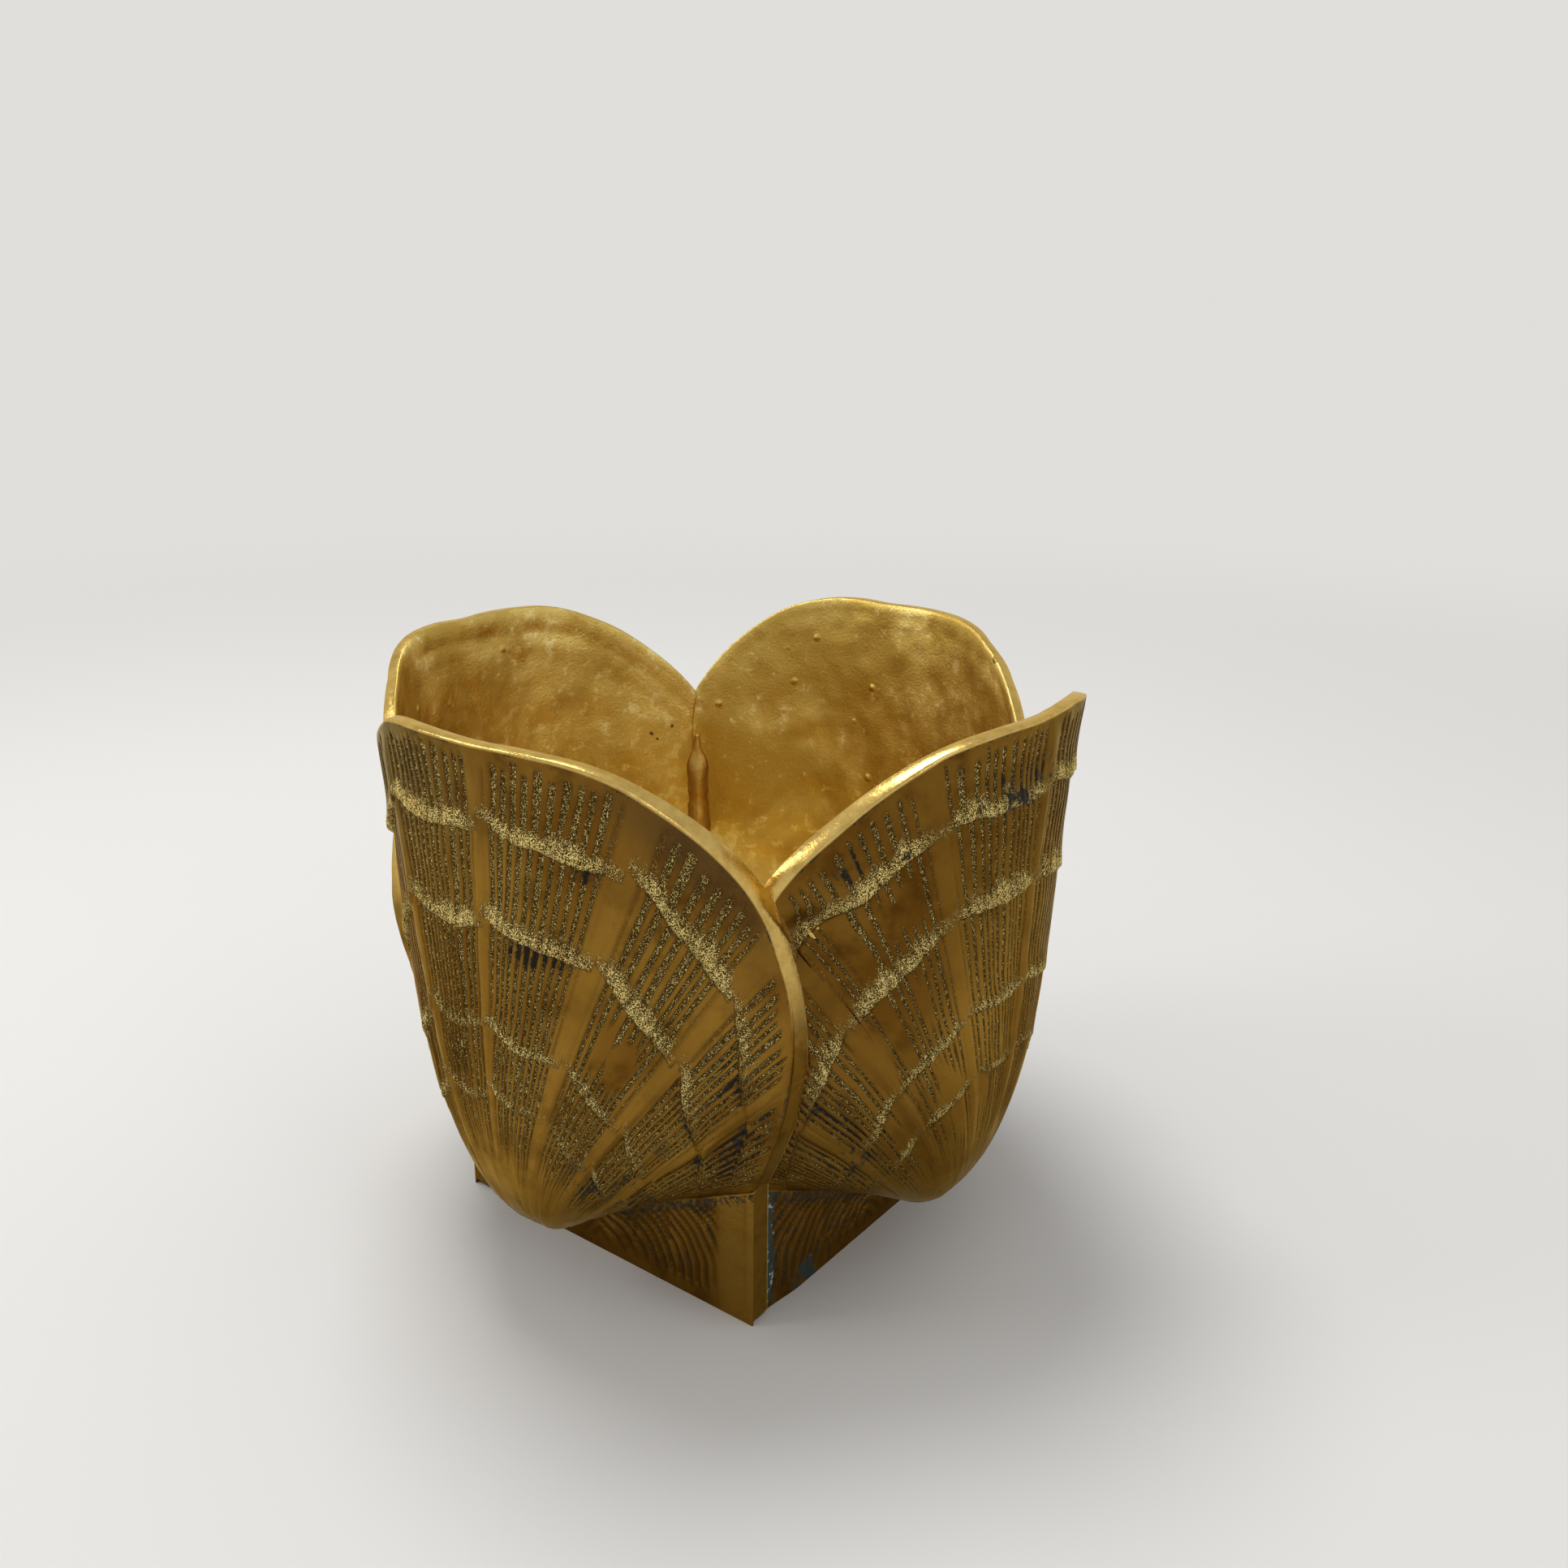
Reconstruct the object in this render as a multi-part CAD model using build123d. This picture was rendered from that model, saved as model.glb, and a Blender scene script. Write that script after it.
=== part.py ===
from build123d import *
import math
import os
import numpy as np

# Brass planter: four clam-shell castings stood on edge round a square foot. They are set like
# petals: the right-hand margin of each casting stands proud of the corner, and the next casting
# is cut back to butt against its inside face. Braze runs up the inside of every corner, and a
# plate brazed inside the foot makes the floor.
#
# Frame: mm, +Z up, origin on the ground under the middle of the foot. The front casting faces -Y.
# Each casting is drawn as the front one: "across" runs along +X, "out" along -Y, "up" along +Z.

# ---- Foot ----------------------------------------------------------------------------------
foot_side = 100.0           # outside of the square foot
foot_height = 37.3          # ground to the top of the foot's corner
foot_wall = 6.0             # thickness of the skirt

# ---- Fan of one casting --------------------------------------------------------------------
notch_height = 115.7        # ground to the V where two rims cross
notch_flare = 10.5          # how far the V stands outside the foot's corner, both ways
crest_height = 150.5        # ground to the top of the rim
crest_flare = 41.8          # how far the crest stands outside the foot's face
crest_shift = 3.9           # the crest stands this far right of the casting's middle
rim_turns = ((0.54, 0.78, 0.92), (0.82, 0.38, 0.55))  # the rim between crest and V: shares of
                            # the V's reach, and of the flare and height that the crest adds
overhang_height = 92.0      # where the right-hand margin stands furthest past the corner
overhang_reach = 15.6       # and how far past the corner it stands there
overhang_flare = 6.3        # and how far outside the foot's face
heel_height = 49.9          # the margin's last turn above the foot
heel_reach = 6.4
heel_flare = 1.9
rim_wall = 3.8              # thickness of the casting at its rim

# ---- Belly of one casting ------------------------------------------------------------------
umbo_height = 13.0          # the ribs all run from this point, in the middle of the foot's face
belly_depth = 33.5          # how far the belly stands out of the straight line to the rim
belly_rise = 0.52           # exponent: the smaller, the lower the belly's fullest point
belly_fall = 0.58           # exponent: how the belly runs out towards the rim
flare_turn = 2.08           # exponent: how late the fan turns outwards
side_fade = 3.0             # exponents: how the belly fades out towards the foot's corners
side_soft = 1.15

# ---- Relief of one casting -----------------------------------------------------------------
fold_angles = (-46.0, -30.5, -14.0, 3.5, 19.5, 33.5, 47.0)  # smooth folds, degrees off upright
fold_half_angle = 1.6
fold_height = 1.1
lobe_height = 0.8           # crown of the lobes between the folds
ledge_shares = (0.862, 0.694, 0.506, 0.376)  # growth ledges, shares of the way from umbo to rim
ledge_height = 1.2          # each stands out this far at its lower edge
ledge_hollow = 0.8          # and the face below it is this deep
ledge_shelf = 3.0           # its upper side fades out over this length
ledge_round = 1.4           # exponent: how round the shelf's top is
ledge_drop = 2.4            # and its lower side falls over this one
ledge_recovery = 4.5        # the hollow fills again over this length
ledge_dip = 3.4             # each ledge sags this far between two folds
rim_border = 5.0            # the relief fades out over this width below the rim
relief_start = 0.2          # shares of the way to the rim between which the relief sets in
relief_full = 0.5
relief_edge = 0.85          # share of the way round to the foot's corner where it fades again
steepest = 2.0              # relief is deepened by up to this much where the face lies back

# ---- Floor and braze -----------------------------------------------------------------------
floor_height = 4.0          # ground to the underside of the floor plate
floor_wall = 3.0
floor_gap = 0.3             # clearance all round the plate
floor_braze = 2.6           # leg of the braze under the plate's edges
joint_gap = 0.3             # a casting's cut edge and the braze stand this far off the castings
seam_leg = 3.4              # legs of the braze that fills the inside of each corner
seam_throat = 2.6           # and how far its crown stands out of the corner
seam_end_gap = 9.0          # it stops this far below the V
plate_corner = 7.0          # leg of the plate's cut corners, which clear the corner braze

# ---- Modelling -----------------------------------------------------------------------------
grid_step = 2.5             # spacing of the points that the curved faces run through
slope_step = 1.0            # the face's slope is read this far either side of a place
margin = 12.0               # the curved faces run this far past the casting's outline
rim_samples = 240           # points that stand for the rim
outline_samples = 30        # of which so many shape the outline
cutter_margin = 4.0         # the cutter runs this far outside the casting that it copies
seam_sections = 33

foot_half = foot_side / 2
rim_out = foot_half + crest_flare


def rim_stations():
    """Points of the rim from the crest to the foot's corner, as (across, out, up)."""
    notch = foot_half + notch_flare
    flare = crest_flare - notch_flare
    rise = crest_height - notch_height
    turns = [
        (across * notch, notch + out * flare, notch_height + up * rise)
        for across, out, up in rim_turns
    ]
    return [
        (0.0, rim_out, crest_height),
        *turns,
        (notch, notch, notch_height),
        (foot_half + overhang_reach, foot_half + overhang_flare, overhang_height),
        (foot_half + heel_reach, foot_half + heel_flare, heel_height),
        (foot_half, foot_half, foot_height),
    ]


def rim_edge():
    """The whole rim of a casting, left corner to right corner, as one smooth curve."""
    right = rim_stations()
    left = [(-across, out, up) for across, out, up in reversed(right[1:])]
    points = []
    for across, out, up in left + right:
        share = max(0.0, (up - notch_height) / (crest_height - notch_height))
        points.append(Vector(across + crest_shift * share, -out, up))
    return Spline(*points)


rim = rim_edge()
rim_points = [rim @ (i / rim_samples) for i in range(rim_samples + 1)]
rim_across = np.array([p.X for p in rim_points])
rim_outward = np.array([-p.Y for p in rim_points])
rim_up = np.array([p.Z for p in rim_points])
rim_angle = np.arctan2(rim_across, rim_up - umbo_height)
rim_reach = np.hypot(rim_across, rim_up - umbo_height)
corner_angle = math.atan2(foot_half, foot_height - umbo_height)


def smooth_face_depth(across, up):
    """How far out the outside of a casting stands at a place on its elevation, without relief."""
    angle = np.clip(np.arctan2(across, up - umbo_height), -corner_angle, corner_angle)
    share = np.hypot(across, up - umbo_height) / np.interp(angle, rim_angle, rim_reach)
    inside = np.minimum(share, 1.0)
    beyond = np.maximum(share - 1.0, 0.0)
    side = np.abs(angle) / corner_angle
    fade = np.maximum(1.0 - side**side_fade, 0.0) ** side_soft
    fullest = (belly_rise / (belly_rise + belly_fall)) ** (1.0 / belly_fall)
    peak = fullest**belly_rise * (1.0 - fullest**belly_fall)
    belly = (inside**belly_rise * (1.0 - inside**belly_fall) - belly_fall * beyond) / peak
    flare = inside**flare_turn + flare_turn * beyond
    at_rim = np.interp(angle, rim_angle, rim_outward)
    return foot_half + (at_rim - foot_half) * flare + belly_depth * fade * belly


def soft_switch(low, high, value):
    """From 0 at low to 1 at high, level at both ends."""
    share = np.clip((value - low) / (high - low), 0.0, 1.0)
    return share * share * (3.0 - 2.0 * share)


def relief_height(across, up):
    """Folds, lobes and growth ledges: how far they stand off the smooth face, square to it."""
    angle = np.arctan2(across, up - umbo_height)
    clipped = np.clip(angle, -corner_angle, corner_angle)
    reach = np.interp(clipped, rim_angle, rim_reach)
    share = np.hypot(across, up - umbo_height) / reach
    turn = np.degrees(angle)
    folds = np.zeros_like(share)
    for fold in fold_angles:
        folds = folds + np.exp(-(((turn - fold) / fold_half_angle) ** 2))
    edges = np.array([-math.degrees(corner_angle), *fold_angles, math.degrees(corner_angle)])
    cell = np.clip(np.searchsorted(edges, turn) - 1, 0, len(edges) - 2)
    place = np.clip((turn - edges[cell]) / (edges[cell + 1] - edges[cell]), 0.0, 1.0)
    crown = 4.0 * place * (1.0 - place) - 0.5  # from -0.5 in a fold to 0.5 in mid lobe
    height = fold_height * folds + lobe_height * crown
    for ledge in ledge_shares:
        above = (share - ledge) * reach + ledge_dip * crown
        shelf = np.exp(-((np.maximum(above, 0.0) / ledge_shelf) ** ledge_round))
        drop = soft_switch(-ledge_drop, 0.0, above)
        hollow = (1.0 - drop) * np.exp(np.minimum(above + ledge_drop, 0.0) / ledge_recovery)
        height = height + ledge_height * shelf * drop - ledge_hollow * hollow * (above < 0)
    fade = soft_switch(relief_start, relief_full, share)
    fade = fade * soft_switch(0.0, rim_border, (1.0 - share) * reach)
    return height * fade * soft_switch(corner_angle, relief_edge * corner_angle, np.abs(angle))


def outer_face_depth(across, up):
    """How far out the outside of a casting stands at a place on its elevation."""
    smooth = smooth_face_depth(across, up)
    rise = smooth_face_depth(across, up + slope_step) - smooth_face_depth(across, up - slope_step)
    run = smooth_face_depth(across + slope_step, up) - smooth_face_depth(across - slope_step, up)
    apart = 2 * slope_step
    steep = np.minimum(np.sqrt(1.0 + (rise / apart) ** 2 + (run / apart) ** 2), steepest)
    return smooth + steep * relief_height(across, up)


def wall_at(up):
    """Thickness of the casting: the skirt's at the foot, thinning to the rim's at the V."""
    share = np.clip((up - foot_height) / (notch_height - foot_height), 0.0, 1.0)
    return foot_wall + (rim_wall - foot_wall) * share


def inner_face_depth(across, up, extra=0.0):
    """The inside of a casting: a ball as wide as the wall rolled along the outside."""
    wall = wall_at(up) + extra
    depth = smooth_face_depth(across, up) - wall
    rings = 4
    spokes = 16
    for ring in range(1, rings + 1):
        reach = math.sin(math.pi / 2 * ring / rings)
        for spoke in range(spokes):
            turn = 2 * math.pi * spoke / spokes
            there = smooth_face_depth(
                across + wall * reach * math.cos(turn),
                up + wall * reach * math.sin(turn),
            )
            depth = np.minimum(depth, there - wall * math.sqrt(1.0 - reach**2))
    return depth


def prism_behind(depth_function, overrun):
    """Everything on the inner side of one of the casting's two curved faces."""
    half = rim_across.max() + margin + overrun
    top = crest_height + margin + overrun
    bottom = -margin - overrun
    across = np.linspace(-half, half, round(2 * half / grid_step))
    levels = np.linspace(bottom, top, round((top - bottom) / grid_step))
    knots = list(np.linspace(0.0, 1.0, len(across)))
    sections = []
    for level in levels:
        depth = depth_function(across, np.full_like(across, level))
        points = [Vector(x, -y, level) for x, y in zip(across, depth)]
        sections.append(Edge.make_spline(points, parameters=knots))
    face = Shell.make_loft([Wire([section]) for section in sections]).faces()[0]
    return extrude(face, amount=rim_out + overrun, dir=(0, 1, 0))


def outline_prism(grow=0.0):
    """The casting's elevation, right through: skirt below, rim above, grown all round."""
    slope_across = np.gradient(rim_across)
    slope_up = np.gradient(rim_up)
    slope = np.hypot(slope_across, slope_up)
    grown_across = rim_across - grow * slope_up / slope
    grown_up = rim_up + grow * slope_across / slope
    elevation = [Vector(x, 0, z) for x, z in zip(grown_across, grown_up)]
    curve = Spline(*elevation[:: rim_samples // outline_samples])
    ground = Polyline(
        curve @ 1,
        (foot_half + grow, 0, -grow),
        (-foot_half - grow, 0, -grow),
        curve @ 0,
    )
    face = make_face(Curve() + [curve, ground])
    front = rim_out + margin
    return extrude(Pos(0, -front, 0) * face, amount=front, dir=(0, 1, 0))


def whole_casting():
    """One casting before its left-hand margin is cut back."""
    solid = outline_prism() & prism_behind(outer_face_depth, 0.0)
    return solid - prism_behind(inner_face_depth, margin)


def neighbour_cutter():
    """A fatter copy of a casting, which cuts the next one back to a joint_gap off its inside."""
    solid = outline_prism(joint_gap) & prism_behind(
        lambda across, up: smooth_face_depth(across, up) + cutter_margin, 0.0
    )
    return solid - prism_behind(
        lambda across, up: inner_face_depth(across, up, joint_gap), margin
    )


def quarter_turn(shape, count):
    """The shape carried round the foot: 0 front, 1 right, 2 back, 3 left."""
    return Rot(0, 0, 90 * count) * shape


def largest_solid(shape):
    """The casting itself, without what the cut leaves outside its neighbour."""
    return max(shape.solids(), key=lambda solid: solid.volume)


def corner_inside(up):
    """Where the inside faces of two castings meet, as far along both from the middle."""
    near = 0.0
    far = rim_out
    halvings = 40
    for _ in range(halvings):
        middle = (near + far) / 2
        if float(inner_face_depth(np.array([middle]), np.array([up]))[0]) > middle:
            near = middle
        else:
            far = middle
    return near


def corner_seam():
    """The braze inside the front right corner, from above the floor plate to below the V."""
    bottom = floor_height + floor_wall + joint_gap
    top = notch_height - seam_end_gap
    sections = []
    for up in np.linspace(bottom, top, seam_sections):
        reach = corner_inside(up)
        toe = reach - seam_leg
        level = np.array([up, up])
        front_wall, right_wall = inner_face_depth(np.array([toe, -toe]), level)
        root = (reach - joint_gap, joint_gap - reach, up)
        front_toe = (toe, joint_gap - front_wall, up)
        right_toe = (right_wall - joint_gap, -toe, up)
        crown = (reach - seam_throat, seam_throat - reach, up)
        outline = Curve() + [
            Polyline(front_toe, root, right_toe),
            ThreePointArc(right_toe, crown, front_toe),
        ]
        sections.append(make_face(outline))
    return loft(sections, ruled=True)


def floor_plate():
    """The floor: a square plate with cut corners."""
    side = foot_side - 2 * foot_wall - 2 * floor_gap
    plate = Pos(0, 0, floor_height + floor_wall / 2) * Box(side, side, floor_wall)
    return chamfer(plate.edges().filter_by(Axis.Z), plate_corner)


def floor_seam():
    """The braze along the front edge of the plate, on its underside."""
    wall = foot_half - foot_wall - joint_gap
    length = foot_side - 2 * foot_wall - 2 * floor_gap - 2 * plate_corner
    section = Polyline(
        (-length / 2, -wall, floor_height),
        (-length / 2, -wall + floor_braze, floor_height),
        (-length / 2, -wall, floor_height - floor_braze),
        close=True,
    )
    return extrude(make_face(section), amount=length, dir=(1, 0, 0))


def main():
    os.makedirs("parts", exist_ok=True)
    cutter = quarter_turn(neighbour_cutter(), 3)
    casting = largest_solid(whole_casting() - cutter)
    seam = corner_seam()
    braze = floor_seam()
    sides = ("front", "right", "back", "left")
    corners = ("front_right", "back_right", "back_left", "front_left")
    for count, (side, corner) in enumerate(zip(sides, corners)):
        export_step(quarter_turn(casting, count), f"parts/shell_{side}.step")
        export_step(quarter_turn(seam, count), f"parts/corner_seam_{corner}.step")
        export_step(quarter_turn(braze, count), f"parts/floor_seam_{side}.step")
    export_step(floor_plate(), "parts/floor_plate.step")


if __name__ == "__main__":
    main()
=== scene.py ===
"""Looks of a brass planter: four clam-shell castings brazed up round a square foot.

Every size is in metres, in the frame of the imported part: +Z up, the origin on the ground under
the middle of the foot. The front casting faces -Y. A casting is described on its own elevation:
"across" runs to the right as seen from outside, "up" is height, and "depth" is how far out of the
planter's middle a surface stands. On the fan, "angle" is a ray's angle from upright at the umbo,
in degrees to the right, and "share" is how far along that ray a place lies on the way to the rim.
"""

import logging
import math
from collections.abc import Callable
from dataclasses import dataclass
from enum import Enum
from typing import Union

import bpy
import numpy as np
from mathutils import Matrix, Vector


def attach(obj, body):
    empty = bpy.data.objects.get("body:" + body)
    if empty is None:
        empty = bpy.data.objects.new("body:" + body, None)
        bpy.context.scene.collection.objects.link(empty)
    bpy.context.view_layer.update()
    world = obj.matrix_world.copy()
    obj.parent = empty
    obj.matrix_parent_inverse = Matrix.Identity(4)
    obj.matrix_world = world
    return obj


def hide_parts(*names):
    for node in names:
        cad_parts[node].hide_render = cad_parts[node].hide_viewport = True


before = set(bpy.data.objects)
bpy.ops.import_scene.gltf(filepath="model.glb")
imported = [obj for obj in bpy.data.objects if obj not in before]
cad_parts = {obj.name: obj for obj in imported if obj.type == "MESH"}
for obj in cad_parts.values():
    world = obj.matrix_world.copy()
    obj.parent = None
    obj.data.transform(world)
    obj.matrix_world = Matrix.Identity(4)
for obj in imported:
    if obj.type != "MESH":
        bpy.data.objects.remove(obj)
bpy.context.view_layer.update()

MM = 0.001
log = logging.getLogger("brass planter")


# ---- Small tools -------------------------------------------------------------------------------


def smooth_step(low: float, high: float, value: np.ndarray) -> np.ndarray:
    """A soft switch.

    Args:
        low: Where the switch starts to leave 0.
        high: Where it reaches 1; it may lie below low.
        value: What is switched.

    Returns:
        Values from 0 to 1, level at both ends.
    """
    share = np.clip((value - low) / (high - low), 0.0, 1.0)
    return share * share * (3.0 - 2.0 * share)


def smooth_curve(points: np.ndarray, count: int) -> np.ndarray:
    """A natural cubic spline through points.

    Args:
        points: Points that the curve runs through, one in each row.
        count: How many places are wanted along it.

    Returns:
        The places, evenly spaced in the chord length of the points.
    """
    knots = np.concatenate([[0.0], np.cumsum(np.linalg.norm(np.diff(points, axis=0), axis=1))])
    step = np.diff(knots)
    size = len(points)
    system = np.eye(size)
    right = np.zeros_like(points)
    for i in range(1, size - 1):
        system[i, i - 1] = step[i - 1]
        system[i, i] = 2.0 * (step[i - 1] + step[i])
        system[i, i + 1] = step[i]
        right[i] = 6.0 * (
            (points[i + 1] - points[i]) / step[i] - (points[i] - points[i - 1]) / step[i - 1]
        )
    bend = np.linalg.solve(system, right)
    at = np.linspace(0.0, knots[-1], count)
    cell = np.clip(np.searchsorted(knots, at, side="right") - 1, 0, size - 2)
    width = step[cell][:, None]
    before = ((knots[cell + 1] - at)[:, None]) / width
    after = 1.0 - before
    return (
        before * points[cell]
        + after * points[cell + 1]
        + ((before**3 - before) * bend[cell] + (after**3 - after) * bend[cell + 1]) * width**2 / 6.0
    )


class SmoothNoise:
    """Value noise of one or two inputs, the same on every run."""

    def __init__(self, seed: int) -> None:
        """Draws the noise's table.

        Args:
            seed: Which noise it is.
        """
        self.side = 64
        self.table = np.random.default_rng(seed).uniform(-1.0, 1.0, (self.side, self.side))

    def __call__(self, first: np.ndarray, second: np.ndarray | float = 0.0) -> np.ndarray:
        """Noise from -1 to 1, whose bumps are about one unit wide.

        Args:
            first: First input.
            second: Second input.

        Returns:
            The noise at each pair of inputs.
        """
        first, second = np.broadcast_arrays(np.asarray(first, float), np.asarray(second, float))
        low_a = np.floor(first)
        low_b = np.floor(second)
        part_a = first - low_a
        part_b = second - low_b
        part_a = part_a * part_a * (3.0 - 2.0 * part_a)
        part_b = part_b * part_b * (3.0 - 2.0 * part_b)
        a = low_a.astype(int) % self.side
        b = low_b.astype(int) % self.side
        a_next = (a + 1) % self.side
        b_next = (b + 1) % self.side
        near = self.table[a, b] * (1 - part_a) + self.table[a_next, b] * part_a
        far = self.table[a, b_next] * (1 - part_a) + self.table[a_next, b_next] * part_a
        return near * (1 - part_b) + far * part_b


class RingMesh:
    """Collects closed rings of vertices, the faces between them and the masks for the finish."""

    def __init__(self, mask_names: tuple[str, ...] = ()) -> None:
        """Starts empty.

        Args:
            mask_names: Names of the values that each vertex carries for the finish.
        """
        self.places: list[np.ndarray] = []
        self.masks: dict[str, list[np.ndarray]] = {name: [] for name in mask_names}
        self.quads: list[np.ndarray] = []
        self.triangles: list[np.ndarray] = []
        self.total = 0

    def ring(self, places: np.ndarray, masks: dict[str, np.ndarray] | None = None) -> np.ndarray:
        """Stores one ring of vertices.

        Args:
            places: Their positions, one in each row.
            masks: Values for the finish; what is not given is nought.

        Returns:
            The numbers of the vertices.
        """
        self.places.append(places)
        for name, held in self.masks.items():
            held.append((masks or {}).get(name, np.zeros(len(places))))
        self.total += len(places)
        return np.arange(self.total - len(places), self.total)

    def bridge(self, first: np.ndarray, second: np.ndarray, flip: bool = False) -> None:
        """Joins two rings with faces.

        Args:
            first: Vertex numbers of one ring.
            second: Those of the next, as many or half as many.
            flip: Turns the faces over.
        """
        way = -1 if flip else 1
        if len(first) == len(second):
            quads = np.stack([first, second, np.roll(second, -1), np.roll(first, -1)], axis=1)
            self.quads.append(quads[:, ::way])
            return
        even, odd = first[0::2], first[1::2]
        after = np.roll(even, -1)
        following = np.roll(second, -1)
        for corners in ([even, second, odd], [odd, following, after], [odd, second, following]):
            self.triangles.append(np.stack(corners, axis=1)[:, ::way])

    def cap(self, ring: np.ndarray, centre: np.ndarray, masks: dict[str, np.ndarray], flip: bool) -> None:
        """Closes a ring with triangles to one point.

        Args:
            ring: Vertex numbers of the ring.
            centre: Where the point stands.
            masks: The point's values for the finish.
            flip: Turns the faces over.
        """
        point = self.ring(centre.reshape(1, 3), masks)
        fan = np.stack([ring, np.full(len(ring), point[0]), np.roll(ring, -1)], axis=1)
        self.triangles.append(fan[:, :: -1 if flip else 1])

    def piece(self, name: str, quarter_turns: int = 0) -> bpy.types.Object:
        """Makes the mesh object, smooth shaded.

        Args:
            name: The piece's name.
            quarter_turns: How far it is carried round the foot, seen from above.

        Returns:
            The object, linked to the scene.
        """
        turn = math.pi / 2 * quarter_turns
        cos, sin = round(math.cos(turn)), round(math.sin(turn))
        spots = np.concatenate(self.places)
        x, y = spots[:, 0], spots[:, 1]
        spots = np.stack([x * cos - y * sin, x * sin + y * cos, spots[:, 2]], axis=1)
        groups = [np.concatenate(group) for group in (self.triangles, self.quads) if group]
        corners = np.concatenate([group.reshape(-1) for group in groups]).astype(np.int32)
        sizes = np.concatenate([np.full(len(group), group.shape[1], np.int32) for group in groups])
        mesh = bpy.data.meshes.new(name)
        mesh.vertices.add(len(spots))
        mesh.vertices.foreach_set("co", spots.astype(np.float32).reshape(-1))
        mesh.loops.add(len(corners))
        mesh.loops.foreach_set("vertex_index", corners)
        mesh.polygons.add(len(sizes))
        starts = np.concatenate([[0], np.cumsum(sizes)[:-1]]).astype(np.int32)
        mesh.polygons.foreach_set("loop_start", starts)
        mesh.polygons.foreach_set("use_smooth", np.ones(len(sizes), bool))
        mesh.update(calc_edges=True)
        for mask, held in self.masks.items():
            layer = mesh.attributes.new(mask, "FLOAT", "POINT")
            layer.data.foreach_set("value", np.concatenate(held).astype(np.float32))
        mesh.validate()
        piece = bpy.data.objects.new(name, mesh)
        bpy.context.scene.collection.objects.link(piece)
        return piece


# ---- Form of a casting -------------------------------------------------------------------------


class Side(Enum):
    """The sides of the planter, in quarter turns from the front."""

    FRONT = 0
    RIGHT = 1
    BACK = 2
    LEFT = 3


@dataclass(frozen=True)
class CastingForm:
    """The smooth form of one casting, without its relief."""

    foot_half: float = 50.0 * MM
    foot_height: float = 37.3 * MM
    foot_wall: float = 6.0 * MM
    notch_height: float = 115.7 * MM
    notch_flare: float = 10.5 * MM
    crest_height: float = 150.5 * MM
    crest_flare: float = 41.8 * MM
    crest_shift: float = 3.9 * MM
    rim_turns: tuple[tuple[float, float, float], ...] = ((0.54, 0.78, 0.92), (0.82, 0.38, 0.55))
    overhang_height: float = 92.0 * MM
    overhang_reach: float = 15.6 * MM
    overhang_flare: float = 6.3 * MM
    heel_height: float = 49.9 * MM
    heel_reach: float = 6.4 * MM
    heel_flare: float = 1.9 * MM
    rim_wall: float = 3.8 * MM
    umbo_height: float = 13.0 * MM
    belly_depth: float = 33.5 * MM
    belly_rise: float = 0.52
    belly_fall: float = 0.58
    flare_turn: float = 2.08
    side_fade: float = 3.0
    side_soft: float = 1.15
    rim_count: int = 481

    def rim(self) -> np.ndarray:
        """The rim from the left foot corner over the crest to the right one, as (across, depth, up)."""
        foot = self.foot_half
        notch = foot + self.notch_flare
        flare = self.crest_flare - self.notch_flare
        rise = self.crest_height - self.notch_height
        right = [(0.0, foot + self.crest_flare, self.crest_height)]
        for across, depth, up in self.rim_turns:
            right.append((across * notch, notch + depth * flare, self.notch_height + up * rise))
        right += [
            (notch, notch, self.notch_height),
            (foot + self.overhang_reach, foot + self.overhang_flare, self.overhang_height),
            (foot + self.heel_reach, foot + self.heel_flare, self.heel_height),
            (foot, foot, self.foot_height),
        ]
        left = [(-across, depth, up) for across, depth, up in reversed(right[1:])]
        points = np.array(left + right)
        lean = np.maximum(0.0, (points[:, 2] - self.notch_height) / rise)
        points[:, 0] += self.crest_shift * lean
        return smooth_curve(points, self.rim_count)

    def corner_angle(self) -> float:
        """The ray's angle from upright at the foot's corners, in radians."""
        return math.atan2(self.foot_half, self.foot_height - self.umbo_height)


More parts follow.
